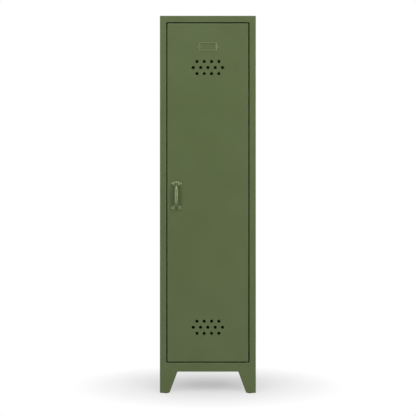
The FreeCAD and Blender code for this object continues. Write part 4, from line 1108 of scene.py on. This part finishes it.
door_middle = Vector((0, frame_low.y, 0.95))
soft_box("left_soft_box", (-2.1, -3.3, 1.3), door_middle, width=1.2, height=2.0, power=31)
soft_box("right_soft_box", (2.1, -3.3, 1.3), door_middle, width=1.2, height=2.0, power=48)
soft_box("top_soft_box", (0, -4.3, 6), door_middle, width=8, height=4.5, power=360)

# The paper shows shadows near the locker and glows to plain white farther out.
floor_radius = 9
paper_grey = 0.5
paper_glow = 0.46
paper_near = 0.05
paper_far = 0.55
shadow_spread = (0.8, 1, 1)
bpy.ops.object.select_all(action="DESELECT")
bpy.ops.mesh.primitive_circle_add(vertices=96, radius=floor_radius, fill_type="NGON")
floor = bpy.context.object
floor.name = "studio_floor"
paper, nodes, links, shader, place = new_finish("studio_paper")
shader.inputs["Base Color"].default_value = (paper_grey, paper_grey, paper_grey, 1)
shader.inputs["Roughness"].default_value = 0.55
shader.inputs["Specular IOR Level"].default_value = 0.3
glow = nodes.new("ShaderNodeEmission")
glow.inputs["Strength"].default_value = 1.0
glow.inputs["Color"].default_value = (1, 1, 1, 1)
squeeze = nodes.new("ShaderNodeVectorMath")
squeeze.operation = "MULTIPLY"
squeeze.inputs[1].default_value = shadow_spread
links.new(place, squeeze.inputs[0])
distance = nodes.new("ShaderNodeVectorMath")
distance.operation = "LENGTH"
links.new(squeeze.outputs["Vector"], distance.inputs[0])
fade = nodes.new("ShaderNodeMapRange")
fade.inputs["From Min"].default_value = paper_near
fade.inputs["From Max"].default_value = paper_far
fade.inputs["To Min"].default_value = paper_glow
fade.inputs["To Max"].default_value = 1.0
links.new(distance.outputs["Value"], fade.inputs["Value"])
ray = nodes.new("ShaderNodeLightPath")
seen = nodes.new("ShaderNodeMath")
seen.operation = "MULTIPLY"
links.new(ray.outputs["Is Camera Ray"], seen.inputs[0])
links.new(fade.outputs["Result"], seen.inputs[1])
blend = nodes.new("ShaderNodeMixShader")
links.new(seen.outputs["Value"], blend.inputs["Fac"])
links.new(shader.outputs["BSDF"], blend.inputs[1])
links.new(glow.outputs["Emission"], blend.inputs[2])
links.new(blend.outputs["Shader"], nodes["Material Output"].inputs["Surface"])
floor.data.materials.append(paper)

# The camera sees white all round, and shiny pieces see it only behind the locker.
world = bpy.data.worlds.new("white_backdrop")
bpy.context.scene.world = world
world.use_nodes = True
nodes = world.node_tree.nodes
links = world.node_tree.links
fill = nodes["Background"]
fill.inputs["Color"].default_value = (1, 1, 1, 1)
fill.inputs["Strength"].default_value = 0.12
white = nodes.new("ShaderNodeBackground")
white.inputs["Color"].default_value = (1, 1, 1, 1)
white.inputs["Strength"].default_value = 1.0
ray = nodes.new("ShaderNodeLightPath")
heading = nodes.new("ShaderNodeSeparateXYZ")
links.new(nodes.new("ShaderNodeTexCoord").outputs["Generated"], heading.inputs["Vector"])
behind = nodes.new("ShaderNodeMapRange")
behind.inputs["From Min"].default_value = 0.0
behind.inputs["From Max"].default_value = 0.5
links.new(heading.outputs["Y"], behind.inputs["Value"])
mirrored = nodes.new("ShaderNodeMath")
mirrored.operation = "MAXIMUM"
links.new(ray.outputs["Is Glossy Ray"], mirrored.inputs[0])
links.new(ray.outputs["Is Transmission Ray"], mirrored.inputs[1])
shown = nodes.new("ShaderNodeMath")
shown.operation = "MULTIPLY_ADD"
links.new(mirrored.outputs["Value"], shown.inputs[0])
links.new(behind.outputs["Result"], shown.inputs[1])
links.new(ray.outputs["Is Camera Ray"], shown.inputs[2])
backdrop = nodes.new("ShaderNodeMixShader")
links.new(shown.outputs["Value"], backdrop.inputs["Fac"])
links.new(fill.outputs["Background"], backdrop.inputs[1])
links.new(white.outputs["Background"], backdrop.inputs[2])
links.new(backdrop.outputs["Shader"], nodes["World Output"].inputs["Surface"])


# Camera
# Level and straight in front of the door, at about half the locker's height, and framed as the
# photo is.
photo_width = 2015.6 * mm
camera_height = 898 * mm
camera_shift = 0.6 * mm
camera_distance = 4.3
camera_data = bpy.data.cameras.new("camera")
camera_data.sensor_width = 36
camera_data.lens = camera_data.sensor_width * camera_distance / photo_width
camera = bpy.data.objects.new("camera", camera_data)
camera.location = (camera_shift, frame_low.y - camera_distance, camera_height)
camera.rotation_euler = (pi / 2, 0, 0)
bpy.context.scene.collection.objects.link(camera)
bpy.context.scene.camera = camera
bpy.context.scene.view_settings.view_transform = "Standard"
